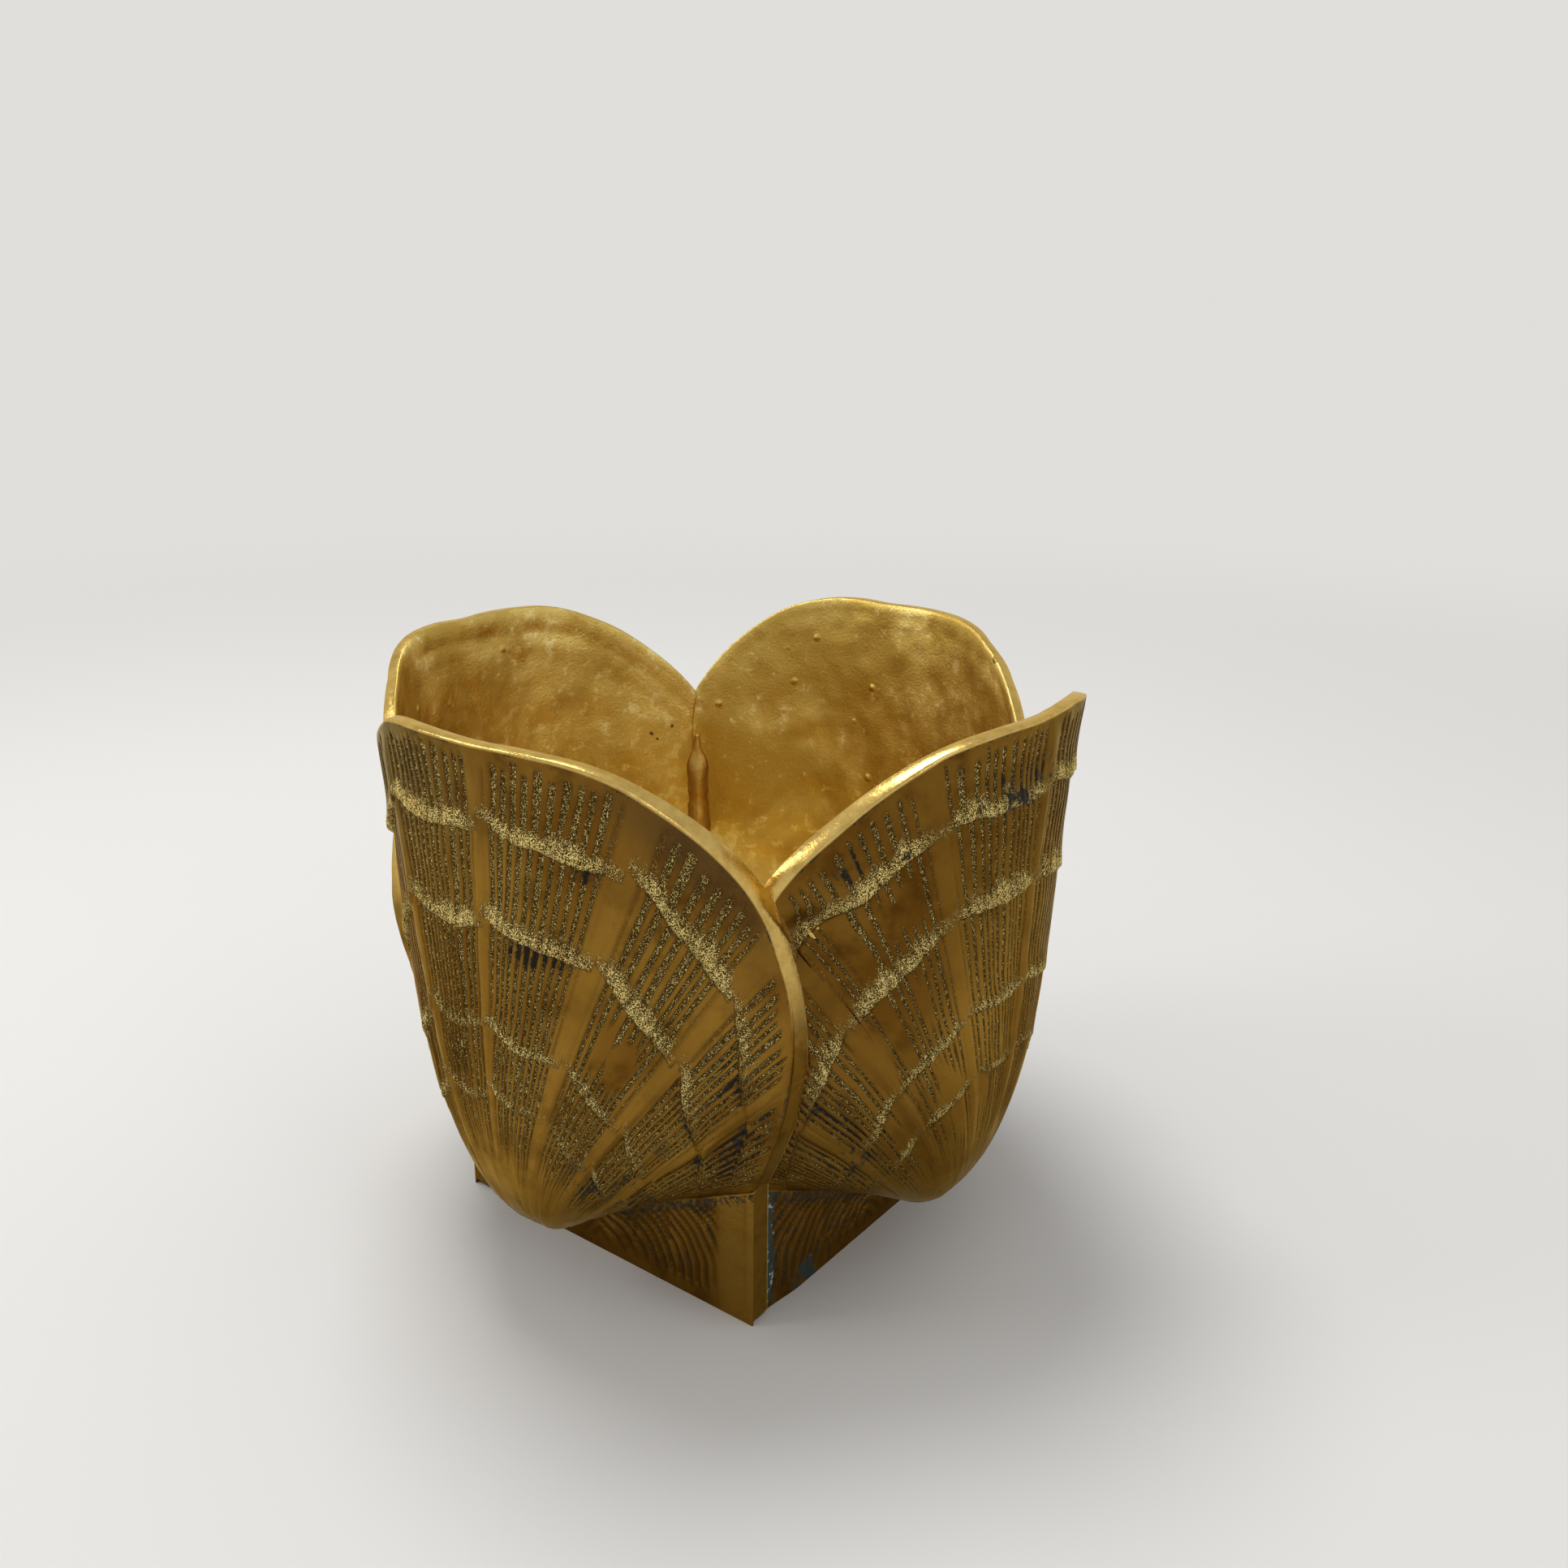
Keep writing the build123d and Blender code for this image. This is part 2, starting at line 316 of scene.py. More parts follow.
class CastingSurface:
    """Works out where the smooth faces of a casting stand."""

    def __init__(self, form: CastingForm) -> None:
        """Reads the rim once.

        Args:
            form: The casting's sizes.
        """
        self.form = form
        rim = form.rim()
        self.rim_across = rim[:, 0]
        self.rim_depth = rim[:, 1]
        self.rim_up = rim[:, 2]
        self.rim_angle = np.arctan2(self.rim_across, self.rim_up - form.umbo_height)
        self.rim_reach = np.hypot(self.rim_across, self.rim_up - form.umbo_height)

    def polar(self, across: np.ndarray, up: np.ndarray) -> tuple[np.ndarray, np.ndarray, np.ndarray]:
        """A place on the elevation as (angle in radians, share, the ray's length to the rim)."""
        corner = self.form.corner_angle()
        angle = np.arctan2(across, up - self.form.umbo_height)
        reach = np.interp(np.clip(angle, -corner, corner), self.rim_angle, self.rim_reach)
        return angle, np.hypot(across, up - self.form.umbo_height) / reach, reach

    def spot(self, angle: float, share: float) -> np.ndarray:
        """Where a place on the fan of the front casting lies in the planter's frame.

        Args:
            angle: The ray's angle, in degrees.
            share: Share of the way to the rim.

        Returns:
            The position on the smooth outer face.
        """
        turn = math.radians(angle)
        reach = float(np.interp(turn, self.rim_angle, self.rim_reach)) * share
        across = reach * math.sin(turn)
        up = self.form.umbo_height + reach * math.cos(turn)
        depth = float(self.outer(np.array([across]), np.array([up]))[0])
        return np.array([across, -depth, up])

    def outer(self, across: np.ndarray, up: np.ndarray) -> np.ndarray:
        """How far out of the planter's middle the smooth outer face stands.

        Args:
            across: Places across the casting.
            up: Heights.

        Returns:
            The face's depth at each place.
        """
        form = self.form
        corner = form.corner_angle()
        angle, share, _ = self.polar(across, up)
        angle = np.clip(angle, -corner, corner)
        inside = np.minimum(share, 1.0)
        beyond = np.maximum(share - 1.0, 0.0)
        side = np.abs(angle) / corner
        fade = np.maximum(1.0 - side**form.side_fade, 0.0) ** form.side_soft
        rise, fall = form.belly_rise, form.belly_fall
        fullest = (rise / (rise + fall)) ** (1.0 / fall)
        peak = fullest**rise * (1.0 - fullest**fall)
        belly = (inside**rise * (1.0 - inside**fall) - fall * beyond) / peak
        flare = inside**form.flare_turn + form.flare_turn * beyond
        at_rim = np.interp(angle, self.rim_angle, self.rim_depth)
        return form.foot_half + (at_rim - form.foot_half) * flare + form.belly_depth * fade * belly

    def inner(self, across: np.ndarray, up: np.ndarray) -> np.ndarray:
        """Depth of the inner face: a ball as wide as the wall rolled along the outer one.

        Args:
            across: Places across the casting.
            up: Heights.

        Returns:
            How far out of the planter's middle the inner face stands.
        """
        form = self.form
        share = np.clip((up - form.foot_height) / (form.notch_height - form.foot_height), 0.0, 1.0)
        wall = form.foot_wall + (form.rim_wall - form.foot_wall) * share
        depth = self.outer(across, up) - wall
        rings, spokes = 4, 16
        for ring in range(1, rings + 1):
            reach = math.sin(math.pi / 2 * ring / rings)
            for spoke in range(spokes):
                turn = 2 * math.pi * spoke / spokes
                there = self.outer(
                    across + wall * reach * math.cos(turn), up + wall * reach * math.sin(turn)
                )
                depth = np.minimum(depth, there - wall * math.sqrt(1.0 - reach**2))
        return depth

    def normal(self, across: np.ndarray, up: np.ndarray) -> np.ndarray:
        """Outward direction of the smooth outer face, on a front casting.

        Args:
            across: Places across the casting.
            up: Heights.

        Returns:
            Unit directions, one in each row.
        """
        step = 1.0 * MM
        by_across = (self.outer(across + step, up) - self.outer(across - step, up)) / (2 * step)
        by_up = (self.outer(across, up + step) - self.outer(across, up - step)) / (2 * step)
        direction = np.stack([-by_across, -np.ones_like(by_up), -by_up], axis=-1)
        return direction / np.linalg.norm(direction, axis=-1, keepdims=True)

    def inside_corner(self, up: np.ndarray) -> np.ndarray:
        """Where the inside faces of two castings meet.

        Args:
            up: Heights.

        Returns:
            How far the meeting place lies from the middle at each height, the same both ways.
        """
        near = np.zeros_like(up)
        far = np.full_like(up, self.form.foot_half + self.form.crest_flare)
        halvings = 30
        for _ in range(halvings):
            middle = (near + far) / 2
            beyond = self.inner(middle, up) > middle
            near = np.where(beyond, middle, near)
            far = np.where(beyond, far, middle)
        return near


# ---- Relief of a casting -----------------------------------------------------------------------


@dataclass(frozen=True)
class Fold:
    """A smooth raised fold that runs from the rim towards the umbo between two ribbed lobes."""

    angle: float
    half_width: float
    height: float


@dataclass(frozen=True)
class Ledge:
    """A growth ledge that crosses all the lobes, and how far rough sand lies up it."""

    share: float
    height: float
    hollow: float
    sand: float
    sand_length: float


@dataclass(frozen=True)
class Patch:
    """A soft-edged area of the fan, for dirt or tarnish."""

    angle: float
    share: float
    angle_spread: float
    share_spread: float
    strength: float = 1.0

    def cover(self, angle: np.ndarray, share: np.ndarray) -> np.ndarray:
        """How much of it lies at each place.

        Args:
            angle: Ray's angle from upright, in degrees.
            share: Share of the way from the umbo to the rim.

        Returns:
            From 0 to the patch's strength.
        """
        far = ((angle - self.angle) / self.angle_spread) ** 2
        far = far + ((share - self.share) / self.share_spread) ** 2
        return self.strength * np.exp(-far)


@dataclass(frozen=True)
class Wear:
    """The state of one casting's outer face.

    dirt_and_shade, tarnish, bare and worn are the patches that hold black dirt, have gone grey, have no
    grooves and have been rubbed bright; the dirt patches feed a mask that also carries painted shade. patina
    is how brown the whole is, partly real patina and partly painted shade, most on the right casting;
    groove_width and sag scale the grooves' width and the ledges' droop, and chipped is how much dirt lies in
    small chips of the ledges and grooves.
    """

    dirt_and_shade: tuple[Patch, ...]
    tarnish: tuple[Patch, ...]
    bare: tuple[Patch, ...]
    worn: tuple[Patch, ...]
    patina: float
    groove_width: float = 1.0
    sag: float = 1.0
    chipped: float = 0.2


SIDE_WEAR = {
    Side.FRONT: Wear(
        dirt_and_shade=(
            Patch(49.0, 0.82, 10.0, 0.17, 1.0),
            Patch(54.0, 0.42, 14.0, 0.16, 0.9),
            Patch(34.0, 0.3, 9.0, 0.07, 0.8),
            Patch(17.0, 0.835, 2.6, 0.022, 1.1),
            Patch(12.5, 0.662, 6.5, 0.022, 1.1),
            Patch(7.0, 0.885, 3.5, 0.016, 0.5),
        ),
        tarnish=(Patch(-12.0, 0.94, 12.0, 0.13, 1.2), Patch(24.0, 0.98, 8.0, 0.05, 0.8)),
        bare=(
            Patch(27.5, 0.59, 4.0, 0.075, 1.0),
            Patch(42.0, 0.55, 6.0, 0.07, 0.6),
            Patch(50.0, 0.36, 12.0, 0.12, 0.7),
        ),
        worn=(Patch(46.0, 0.56, 10.0, 0.18, 1.1), Patch(7.0, 0.6, 4.0, 0.12, 0.5)),
        patina=0.15,
    ),
    Side.RIGHT: Wear(
        dirt_and_shade=(
            Patch(-46.0, 0.62, 7.0, 0.28, 1.1),
            Patch(-22.0, 0.93, 5.0, 0.06, 0.7),
            Patch(-30.0, 0.42, 7.0, 0.07, 0.4),
            Patch(-1.0, 0.9, 6.0, 0.05, 1.2),
            Patch(4.0, 0.3, 6.0, 0.1, 0.6),
        ),
        tarnish=(Patch(15.0, 0.93, 10.0, 0.16, 1.2), Patch(17.0, 0.6, 8.0, 0.12, 0.7)),
        bare=(
            Patch(-34.0, 0.93, 13.0, 0.1, 0.7),
            Patch(-20.0, 0.8, 6.0, 0.07, 0.8),
            Patch(-26.0, 0.36, 20.0, 0.12, 1.0),
            Patch(-26.0, 0.62, 9.0, 0.12, 1.0),
        ),
        worn=(
            Patch(-10.0, 0.5, 14.0, 0.12, 0.9),
            Patch(-14.0, 0.27, 12.0, 0.08, 0.5),
            Patch(-50.0, 0.55, 5.0, 0.15, 0.7),
        ),
        # the right casting is browned most: partly real patina, partly painted shade on this side
        patina=0.65,
        groove_width=0.72,
        sag=0.35,
        chipped=0.6,
    ),
    Side.BACK: Wear(
        dirt_and_shade=(Patch(-46.0, 0.7, 14.0, 0.25, 0.9), Patch(28.0, 0.66, 8.0, 0.04, 0.8)),
        tarnish=(Patch(10.0, 0.95, 16.0, 0.15, 0.8),),
        bare=(Patch(-25.0, 0.6, 6.0, 0.1, 0.8),),
        worn=(Patch(20.0, 0.5, 9.0, 0.12, 0.6),),
        patina=0.35,
    ),
    Side.LEFT: Wear(
        dirt_and_shade=(Patch(44.0, 0.75, 13.0, 0.22, 0.9), Patch(-20.0, 0.5, 8.0, 0.04, 0.8)),
        tarnish=(Patch(-18.0, 0.92, 15.0, 0.18, 0.8),),
        bare=(Patch(27.0, 0.75, 6.0, 0.1, 0.8),),
        worn=(Patch(-30.0, 0.5, 9.0, 0.12, 0.6),),
        patina=0.3,
    ),
}


@dataclass(frozen=True)
class ReliefSizes:
    """Sizes of the ribs, folds, ledges and skirt flutes; angles are in degrees."""

    folds: tuple[Fold, ...] = (
        Fold(-46.0, 1.3, 0.9 * MM),
        Fold(-30.5, 1.5, 1.0 * MM),
        Fold(-14.0, 1.4, 1.0 * MM),
        Fold(3.5, 1.2, 1.1 * MM),
        Fold(19.5, 1.7, 1.3 * MM),
        Fold(33.5, 1.7, 1.2 * MM),
        Fold(47.0, 1.4, 0.9 * MM),
    )
    ledges: tuple[Ledge, ...] = (
        Ledge(0.862, 1.2 * MM, 0.8 * MM, 1.0, 6.6 * MM),
        Ledge(0.694, 1.35 * MM, 0.95 * MM, 1.0, 6.8 * MM),
        Ledge(0.506, 1.0 * MM, 0.6 * MM, 0.85, 4.2 * MM),
        Ledge(0.376, 0.8 * MM, 0.4 * MM, 0.75, 3.2 * MM),
    )
    rib_pitch: float = 1.24
    rib_depth: float = 0.62 * MM
    groove_edge: float = 0.31
    groove_floor: float = 0.19
    border: float = 3.0 * MM
    border_end: float = 1.3 * MM
    lobe_rise: float = 0.9 * MM
    ledge_dip: float = 0.026
    ledge_tilt: float = 0.02
    shelf_length: float = 3.6 * MM
    drop_length: float = 1.1 * MM
    hollow_length: float = 3.4 * MM
    flute_pitch: float = 2.9 * MM
    flute_sweep: float = 17.0 * MM
    flute_bend: float = 12.0 * MM
    flute_depth: float = 0.65 * MM


class Relief:
    """Works out how far the outer face of one casting stands off its smooth form."""

    MASKS = (
        "sand",
        "groove",
        "dirt_and_shade",
        "fold",
        "tarnish",
        "patina",
        "polish",
        "ground",
        "inside",
        "green",
    )

    def __init__(self, surface: CastingSurface, sizes: ReliefSizes, side: Side) -> None:
        """Draws what differs from casting to casting.

        Args:
            surface: The smooth form.
            sizes: Sizes of the relief.
            side: Which casting it is.
        """
        self.surface = surface
        self.sizes = sizes
        self.wear = SIDE_WEAR[side]
        self.noise = SmoothNoise(100 + side.value)
        self.fine = SmoothNoise(200 + side.value)

    def lobe_part(self, angle: np.ndarray) -> tuple[np.ndarray, np.ndarray]:
        """Which lobe a ray lies in, and how far across it, from 0 to 1."""
        corner = math.degrees(self.surface.form.corner_angle())
        edges = np.array([-corner] + [fold.angle for fold in self.sizes.folds] + [corner])
        lobe = np.clip(np.searchsorted(edges, angle) - 1, 0, len(edges) - 2)
        return lobe, np.clip((angle - edges[lobe]) / (edges[lobe + 1] - edges[lobe]), 0.0, 1.0)

    def folds(self, angle: np.ndarray, share: np.ndarray) -> tuple[np.ndarray, np.ndarray]:
        """How much of a place belongs to a fold, and the folds' height there."""
        mask = np.zeros_like(angle)
        height = np.zeros_like(angle)
        wander = 0.4 * self.noise(share * 6.0, angle * 0.02)
        for fold in self.sizes.folds:
            off = (angle + wander - fold.angle) / fold.half_width
            mask = np.maximum(mask, np.exp(-((np.abs(off) / 1.3) ** 4)))
            height = height + fold.height * np.exp(-(off**2))
        return mask, height

    def ledge_share(self, ledge: Ledge, angle: np.ndarray) -> np.ndarray:
        """Where a ledge crosses each ray, sagging and leaning between the folds."""
        lobe, part = self.lobe_part(angle)
        sag = 4.0 * part * (1.0 - part) * self.sizes.ledge_dip * self.wear.sag
        jump = self.fine(lobe * 7.3 + ledge.share * 31.0, 5.0) * 0.007 * self.wear.sag
        lean = (0.5 - part) * self.sizes.ledge_tilt * np.where(angle > -20.0, 1.0, -1.0) * self.wear.sag
        wobble = self.noise(angle * 0.45, ledge.share * 50.0) * 0.004
        wobble = wobble + self.fine(angle * 1.3, ledge.share * 70.0) * 0.002
        return ledge.share + 0.014 - sag + lean + jump + wobble

    def ledges(
        self, angle: np.ndarray, share: np.ndarray, reach: np.ndarray, fold: np.ndarray
    ) -> tuple[np.ndarray, np.ndarray, np.ndarray, np.ndarray]:
        """The growth ledges.

        Args:
            angle: Ray's angle from upright, in degrees.
            share: Share of the way from the umbo to the rim.
            reach: The ray's length.
            fold: How much of a place belongs to a fold.

        Returns:
            Their height, the sandy band on them, the hollow below them and how many lie above.
        """
        sizes = self.sizes
        _, part = self.lobe_part(angle)
        crown = 4.0 * part * (1.0 - part)
        height = np.zeros_like(angle)
        band = np.zeros_like(angle)
        pocket = np.zeros_like(angle)
        above_count = np.zeros_like(angle)
        for ledge in sizes.ledges:
            off = (share - self.ledge_share(ledge, angle)) * reach
            above_count = above_count + (off < 0)
            strength = 0.85 + 0.3 * self.noise(angle * 0.16 + 9.0, ledge.share * 40.0)
            strength = strength * (0.6 + 0.4 * crown**0.5) * (1.0 - 0.4 * fold)
            strength = strength * smooth_step(63.0, 50.0, np.abs(angle))
            shelf = np.exp(-((np.maximum(off, 0.0) / sizes.shelf_length) ** 1.4))
            drop = smooth_step(-sizes.drop_length, 0.0, off)
            hollow = np.exp(np.minimum(off, 0.0) / sizes.hollow_length) * (1.0 - drop) * (off < 0)
            height = height + strength * (ledge.height * np.where(off >= 0, shelf, drop))
            height = height - strength * ledge.hollow * hollow
            length = ledge.sand_length * (1.0 + 0.35 * self.noise(angle * 0.8, ledge.share * 20.0))
            length = length * (0.55 + 0.45 * crown**0.5)
            sand = smooth_step(-0.9 * MM, -0.2 * MM, off) * smooth_step(length, 0.25 * length, off)
            sand = sand * ledge.sand * (0.9 + 0.25 * self.fine(angle * 0.9, ledge.share * 33.0))
            sand = sand * smooth_step(47.0, 34.0, np.abs(angle))
            band = np.maximum(band, np.minimum(1.25 * strength, 1.0) * sand)
            pocket = np.maximum(pocket, strength * hollow)
        return height, band, pocket, above_count

    def fan(self, angle: np.ndarray, share: np.ndarray, reach: np.ndarray) -> dict[str, np.ndarray]:
        """Relief of the ribbed fan.

        Args:
            angle: Ray's angle from upright, in degrees.
            share: Share of the way from the umbo to the rim.
            reach: The ray's length from the umbo to the rim.

        Returns:
            The height off the smooth form and the masks for the finish, by name.
        """
        sizes = self.sizes
        from_rim = (1.0 - share) * reach
        fold, fold_height = self.folds(angle, share)
        _, part = self.lobe_part(angle)
        crown = 4.0 * part * (1.0 - part)
        rise = smooth_step(0.16, 0.46, share)
        height = fold_height * rise * smooth_step(-2.0 * MM, 9.0 * MM, from_rim)
        height = height + sizes.lobe_rise * (crown - 0.5) * rise
        step, band, pocket, above_count = self.ledges(angle, share, reach, fold)
        height = height + step

        phase = angle / sizes.rib_pitch + 0.4 * self.noise(angle * 0.35, 3.0)
        phase = phase + 0.2 * self.noise(angle * 0.5, share * 6.0 + 20.0)
        phase = phase + 0.37 * above_count
        number = np.floor(phase)
        off_middle = np.abs(phase - number - 0.5)
        width = self.wear.groove_width * (1.0 + 0.2 * self.fine(number * 1.7, share * 9.0))
        groove = smooth_step(sizes.groove_edge, sizes.groove_floor, off_middle / width)
        each = 0.9 + 0.3 * self.fine(number * 1.7, above_count * 3.1)
        border = sizes.border * (1.0 + 0.5 * self.fine(number * 2.3, 7.0))
        length = smooth_step(0.0, sizes.border_end, from_rim - border)
        length = length * smooth_step(0.17, 0.4, share + 0.05 * self.fine(number * 3.1, 2.0))
        bare = sum(patch.cover(angle, share) for patch in self.wear.bare)
        kept = smooth_step(0.1, 0.5, self.fine(number * 0.9 + 4.0, above_count * 5.7) + 1.35 - 1.5 * bare)
        groove = groove * np.clip(each, 0.0, 1.0) * length * (1.0 - fold) * kept
        groove = groove * (1.0 - 0.75 * band) * smooth_step(64.0, 57.0, np.abs(angle))
        height = height - sizes.rib_depth * groove
        height = height + 0.12 * MM * self.noise(angle * 0.5, share * 14.0)
        height = height + 0.09 * MM * band * self.fine(angle * 2.4, share * 170.0)

        dirt_and_shade = sum(patch.cover(angle, share) for patch in self.wear.dirt_and_shade)
        dirt_and_shade = dirt_and_shade * (0.85 + 0.5 * self.noise(angle * 0.6 + 30.0, share * 25.0))
        chips = smooth_step(0.25, 0.75, self.fine(angle * 1.4 + 50.0, share * 60.0 + 9.0))
        dirt_and_shade = dirt_and_shade + self.wear.chipped * chips * (band + 0.5 * groove)
        crack = smooth_step(0.25, 0.6, self.fine(angle * 1.1 + 7.0, share * 55.0))
        hollows = np.maximum(np.maximum(groove, 0.9 * pocket), np.maximum(0.55 * crack, 0.7 * band))
        tarnish = sum(patch.cover(angle, share) for patch in self.wear.tarnish)
        worn = sum(patch.cover(angle, share) for patch in self.wear.worn)
        crease = np.exp(-(((from_rim - 0.75 * MM) / (0.45 * MM)) ** 2))
        crease = crease * (0.6 + 0.5 * self.noise(angle * 0.4, 80.0)) * smooth_step(60.0, 50.0, np.abs(angle))
        height = height - 0.2 * MM * crease
        return {
            "height": height,
            "sand": np.clip(np.maximum(band, groove), 0.0, 1.0),
            "groove": np.clip(groove, 0.0, 1.0),
            # dirt_and_shade: real dirt in the hollows, plus painted shade under every ledge and along the
            # crease under the rim
            "dirt_and_shade": np.clip(dirt_and_shade * hollows + 0.45 * pocket * pocket + 0.6 * crease, 0.0, 1.0),
            "fold": fold * smooth_step(0.2, 0.5, share) * (1.0 - 0.6 * band),
            "tarnish": np.clip(tarnish, 0.0, 1.0),
            # patina: real brown patina plus painted shade, set per casting
            "patina": np.full_like(angle, self.wear.patina),
            "polish": np.clip(0.3 * smooth_step(0.42, 0.22, share) + worn, 0.0, 1.0),
            "green": np.zeros_like(angle),
        }

    def skirt(self, across: np.ndarray, up: np.ndarray) -> dict[str, np.ndarray]:
        """Relief of the foot's skirt.

        Args:
            across: Places across the casting.
            up: Heights.

        Returns:
            The height off the smooth form and the masks for the finish, by name.
        """
        form = self.surface.form
        sizes = self.sizes
        far = np.abs(across)
        to_corner = form.foot_half - far
        crease = form.umbo_height + (form.foot_height - form.umbo_height) * far / form.foot_half
        drop = np.maximum(crease - up, 0.0)
        side = np.where(across < 0, 11.0, 0.0)
        sweep = sizes.flute_sweep * (1.0 - np.exp(-drop / sizes.flute_bend))
        phase = (far - sweep) / sizes.flute_pitch + 0.35 * self.noise(far / (9.0 * MM), side)
        phase = phase + 0.2 * self.fine(drop / (6.0 * MM), side + far / (9.0 * MM))
        number = np.floor(phase)
        off_middle = np.abs(phase - number - 0.5)
        groove = smooth_step(0.34, 0.1, off_middle)
        corner_strip = np.where(across < 0, 7.0 * MM, 10.0 * MM)
        length = smooth_step(0.8 * MM, 2.6 * MM, drop) * smooth_step(2.0 * MM, 6.0 * MM, up)
        length = length * smooth_step(corner_strip, corner_strip + 4.0 * MM, to_corner)
        length = length * smooth_step(-14.0 * MM, -4.0 * MM, far - sweep)
        strength = groove * length * (0.75 + 0.35 * self.fine(number * 1.9, side))
        dent = self.noise(across / (14.0 * MM), up / (11.0 * MM)) * 0.25 * MM
        edge = smooth_step(0.0, 3.0 * MM, up) * smooth_step(0.0, 3.0 * MM, to_corner)
        arris = 0.3 * MM * np.exp(-(((to_corner - 1.4 * MM) / (0.9 * MM)) ** 2)) * (across > 0)
        relief = (dent - sizes.flute_depth * strength) * edge * smooth_step(0.0, 2.0 * MM, drop)
        speckle = 0.5 + 0.5 * self.fine(across / (1.6 * MM), up / (2.4 * MM))
        joint = smooth_step(-38.5 * MM, -42.5 * MM, across)
        spill = np.exp(-(((far - 28.0 * MM) / (6.0 * MM)) ** 2)) * smooth_step(9.0 * MM, 4.0 * MM, up)
        spill = spill * (across < 0)
        green = (joint + 0.7 * spill) * smooth_step(0.25, 0.7, speckle + 0.3 * joint)
        green = green * smooth_step(38.0 * MM, 30.0 * MM, up)
        return {
            "height": relief + arris * smooth_step(0.0, 3.0 * MM, up),
            "sand": 0.15 * strength,
            "groove": strength,
            # darker in the flutes, plus painted shade along the top of the skirt under the belly
            "dirt_and_shade": np.clip(0.55 * strength + 0.55 * smooth_step(5.0 * MM, 0.0, drop), 0.0, 1.0),
            "fold": np.zeros_like(across),
            "tarnish": np.zeros_like(across),
            # the skirt is browned more: patina plus painted shade
            "patina": np.full_like(across, min(1.0, self.wear.patina + 0.35)),
            "polish": 0.55 * smooth_step(16.0 * MM, 6.0 * MM, to_corner) * (across > 0) * (1.0 - strength),
            "green": np.clip(green, 0.0, 1.0),
        }


# ---- Castings and braze ------------------------------------------------------------------------


@dataclass(frozen=True)
class GridSizes:
    """How finely a casting's faces are divided."""

    rim_columns: int = 800
    skirt_columns: int = 128
    fine_step: float = 0.0052
    coarse_step: float = 0.0095
    fine_reach: float = 0.034
    blocks: tuple[tuple[float, int, float], ...] = ((0.47, 1, 1.0), (0.25, 2, 1.3), (0.12, 4, 2.0))
    last_block: tuple[float, int, float] = (0.012, 8, 3.0)
    inner_step: float = 0.0155
    inner_last: float = 0.03


class CastingPlan:
    """Where the columns of a casting's mesh run; it serves all four castings."""

    def __init__(self, form: CastingForm, grid: GridSizes) -> None:
        """Works out the outline and how far each face runs before it meets the next casting.

        Args:
            form: The casting's sizes.
            grid: How finely it is divided.
        """
        self.form = form
        self.grid = grid
        self.surface = CastingSurface(form)
        self.joint_gap = 0.12 * MM
        self.tuck = 1.2 * MM
        self.across, self.up = self.outline()
        self.outer_reach = self.reach(self.tucked)
        self.inner_reach = self.reach(self.surface.inner)

    def outline(self) -> tuple[np.ndarray, np.ndarray]:
        """Where each column meets the casting's outline, as (across, up)."""
        form, grid = self.form, self.grid
        rim = np.stack([self.surface.rim_across, self.surface.rim_up], axis=1)
        foot = np.array(
            [
                (form.foot_half, form.foot_height),
                (form.foot_half, 0.0),
                (-form.foot_half, 0.0),
                (-form.foot_half, form.foot_height),
            ]
        )

        def spaced(line: np.ndarray, count: int) -> np.ndarray:
            """Places evenly spaced along a line, without its end."""
            run = np.concatenate([[0.0], np.cumsum(np.linalg.norm(np.diff(line, axis=0), axis=1))])
            at = np.linspace(0.0, run[-1], count, endpoint=False)
            return np.stack([np.interp(at, run, line[:, 0]), np.interp(at, run, line[:, 1])], axis=1)

        loop = np.concatenate([spaced(rim, grid.rim_columns), spaced(foot, grid.skirt_columns)])
        for corner in ((form.foot_half, 0.0), (-form.foot_half, 0.0)):
            nearest = np.argmin(np.linalg.norm(loop - np.array(corner), axis=1))
            loop[nearest] = corner
        return loop[:, 0], loop[:, 1]

    def tucked(self, across: np.ndarray, up: np.ndarray) -> np.ndarray:
        """Depth of the outer face, drawn in where its left margin goes behind the next rim."""
        depth = self.surface.outer(across, up)
        right = self.surface.rim_angle > 0
        limit = np.interp(up, self.surface.rim_up[right][::-1], self.surface.rim_across[right][::-1])
        near = smooth_step(-0.6, -0.88, across / limit)
        over = np.maximum(depth - (limit - self.tuck), 0.0)
        notch = self.form.notch_height
        low = smooth_step(notch + 2.0 * MM, notch - 8.0 * MM, up)
        return depth - over * near * low

    def reach(self, depth_of: Callable[[np.ndarray, np.ndarray], np.ndarray]) -> np.ndarray:
        """How far out along each column a face runs before it meets the next casting.

        Args:
            depth_of: The face's depth as a function of across and up.

        Returns:
            Shares of the way from the umbo to the outline.
        """
        umbo = self.form.umbo_height
        left = self.across < 0
        across, up = self.across[left], self.up[left]

        def blocked(share: np.ndarray) -> np.ndarray:
            """True where the face has run into the next casting."""
            here = across * share
            height = umbo + (up - umbo) * share
            depth = depth_of(here, height)
            _, beside, _ = self.surface.polar(depth, height)
            wall = self.surface.inner(depth, height) - self.joint_gap
            low = (height < self.form.foot_height) & (depth < self.form.foot_half + self.joint_gap)
            return (-here > wall) & ((beside < 1.0) | low)

        steps = np.linspace(0.6, 1.0, 41)
        hits = np.array([blocked(np.full_like(across, share)) for share in steps])
        hit = hits.any(axis=0)
        first = np.where(hit, hits.argmax(axis=0), len(steps) - 1)
        high = steps[first]
        low = steps[np.maximum(first - 1, 0)]
        halvings = 14
        for _ in range(halvings):
            middle = (low + high) / 2
            stop = blocked(middle)
            high = np.where(stop, middle, high)
            low = np.where(stop, low, middle)
        reach = np.ones_like(self.across)
        reach[left] = np.where(hit, low, 1.0)
        return reach


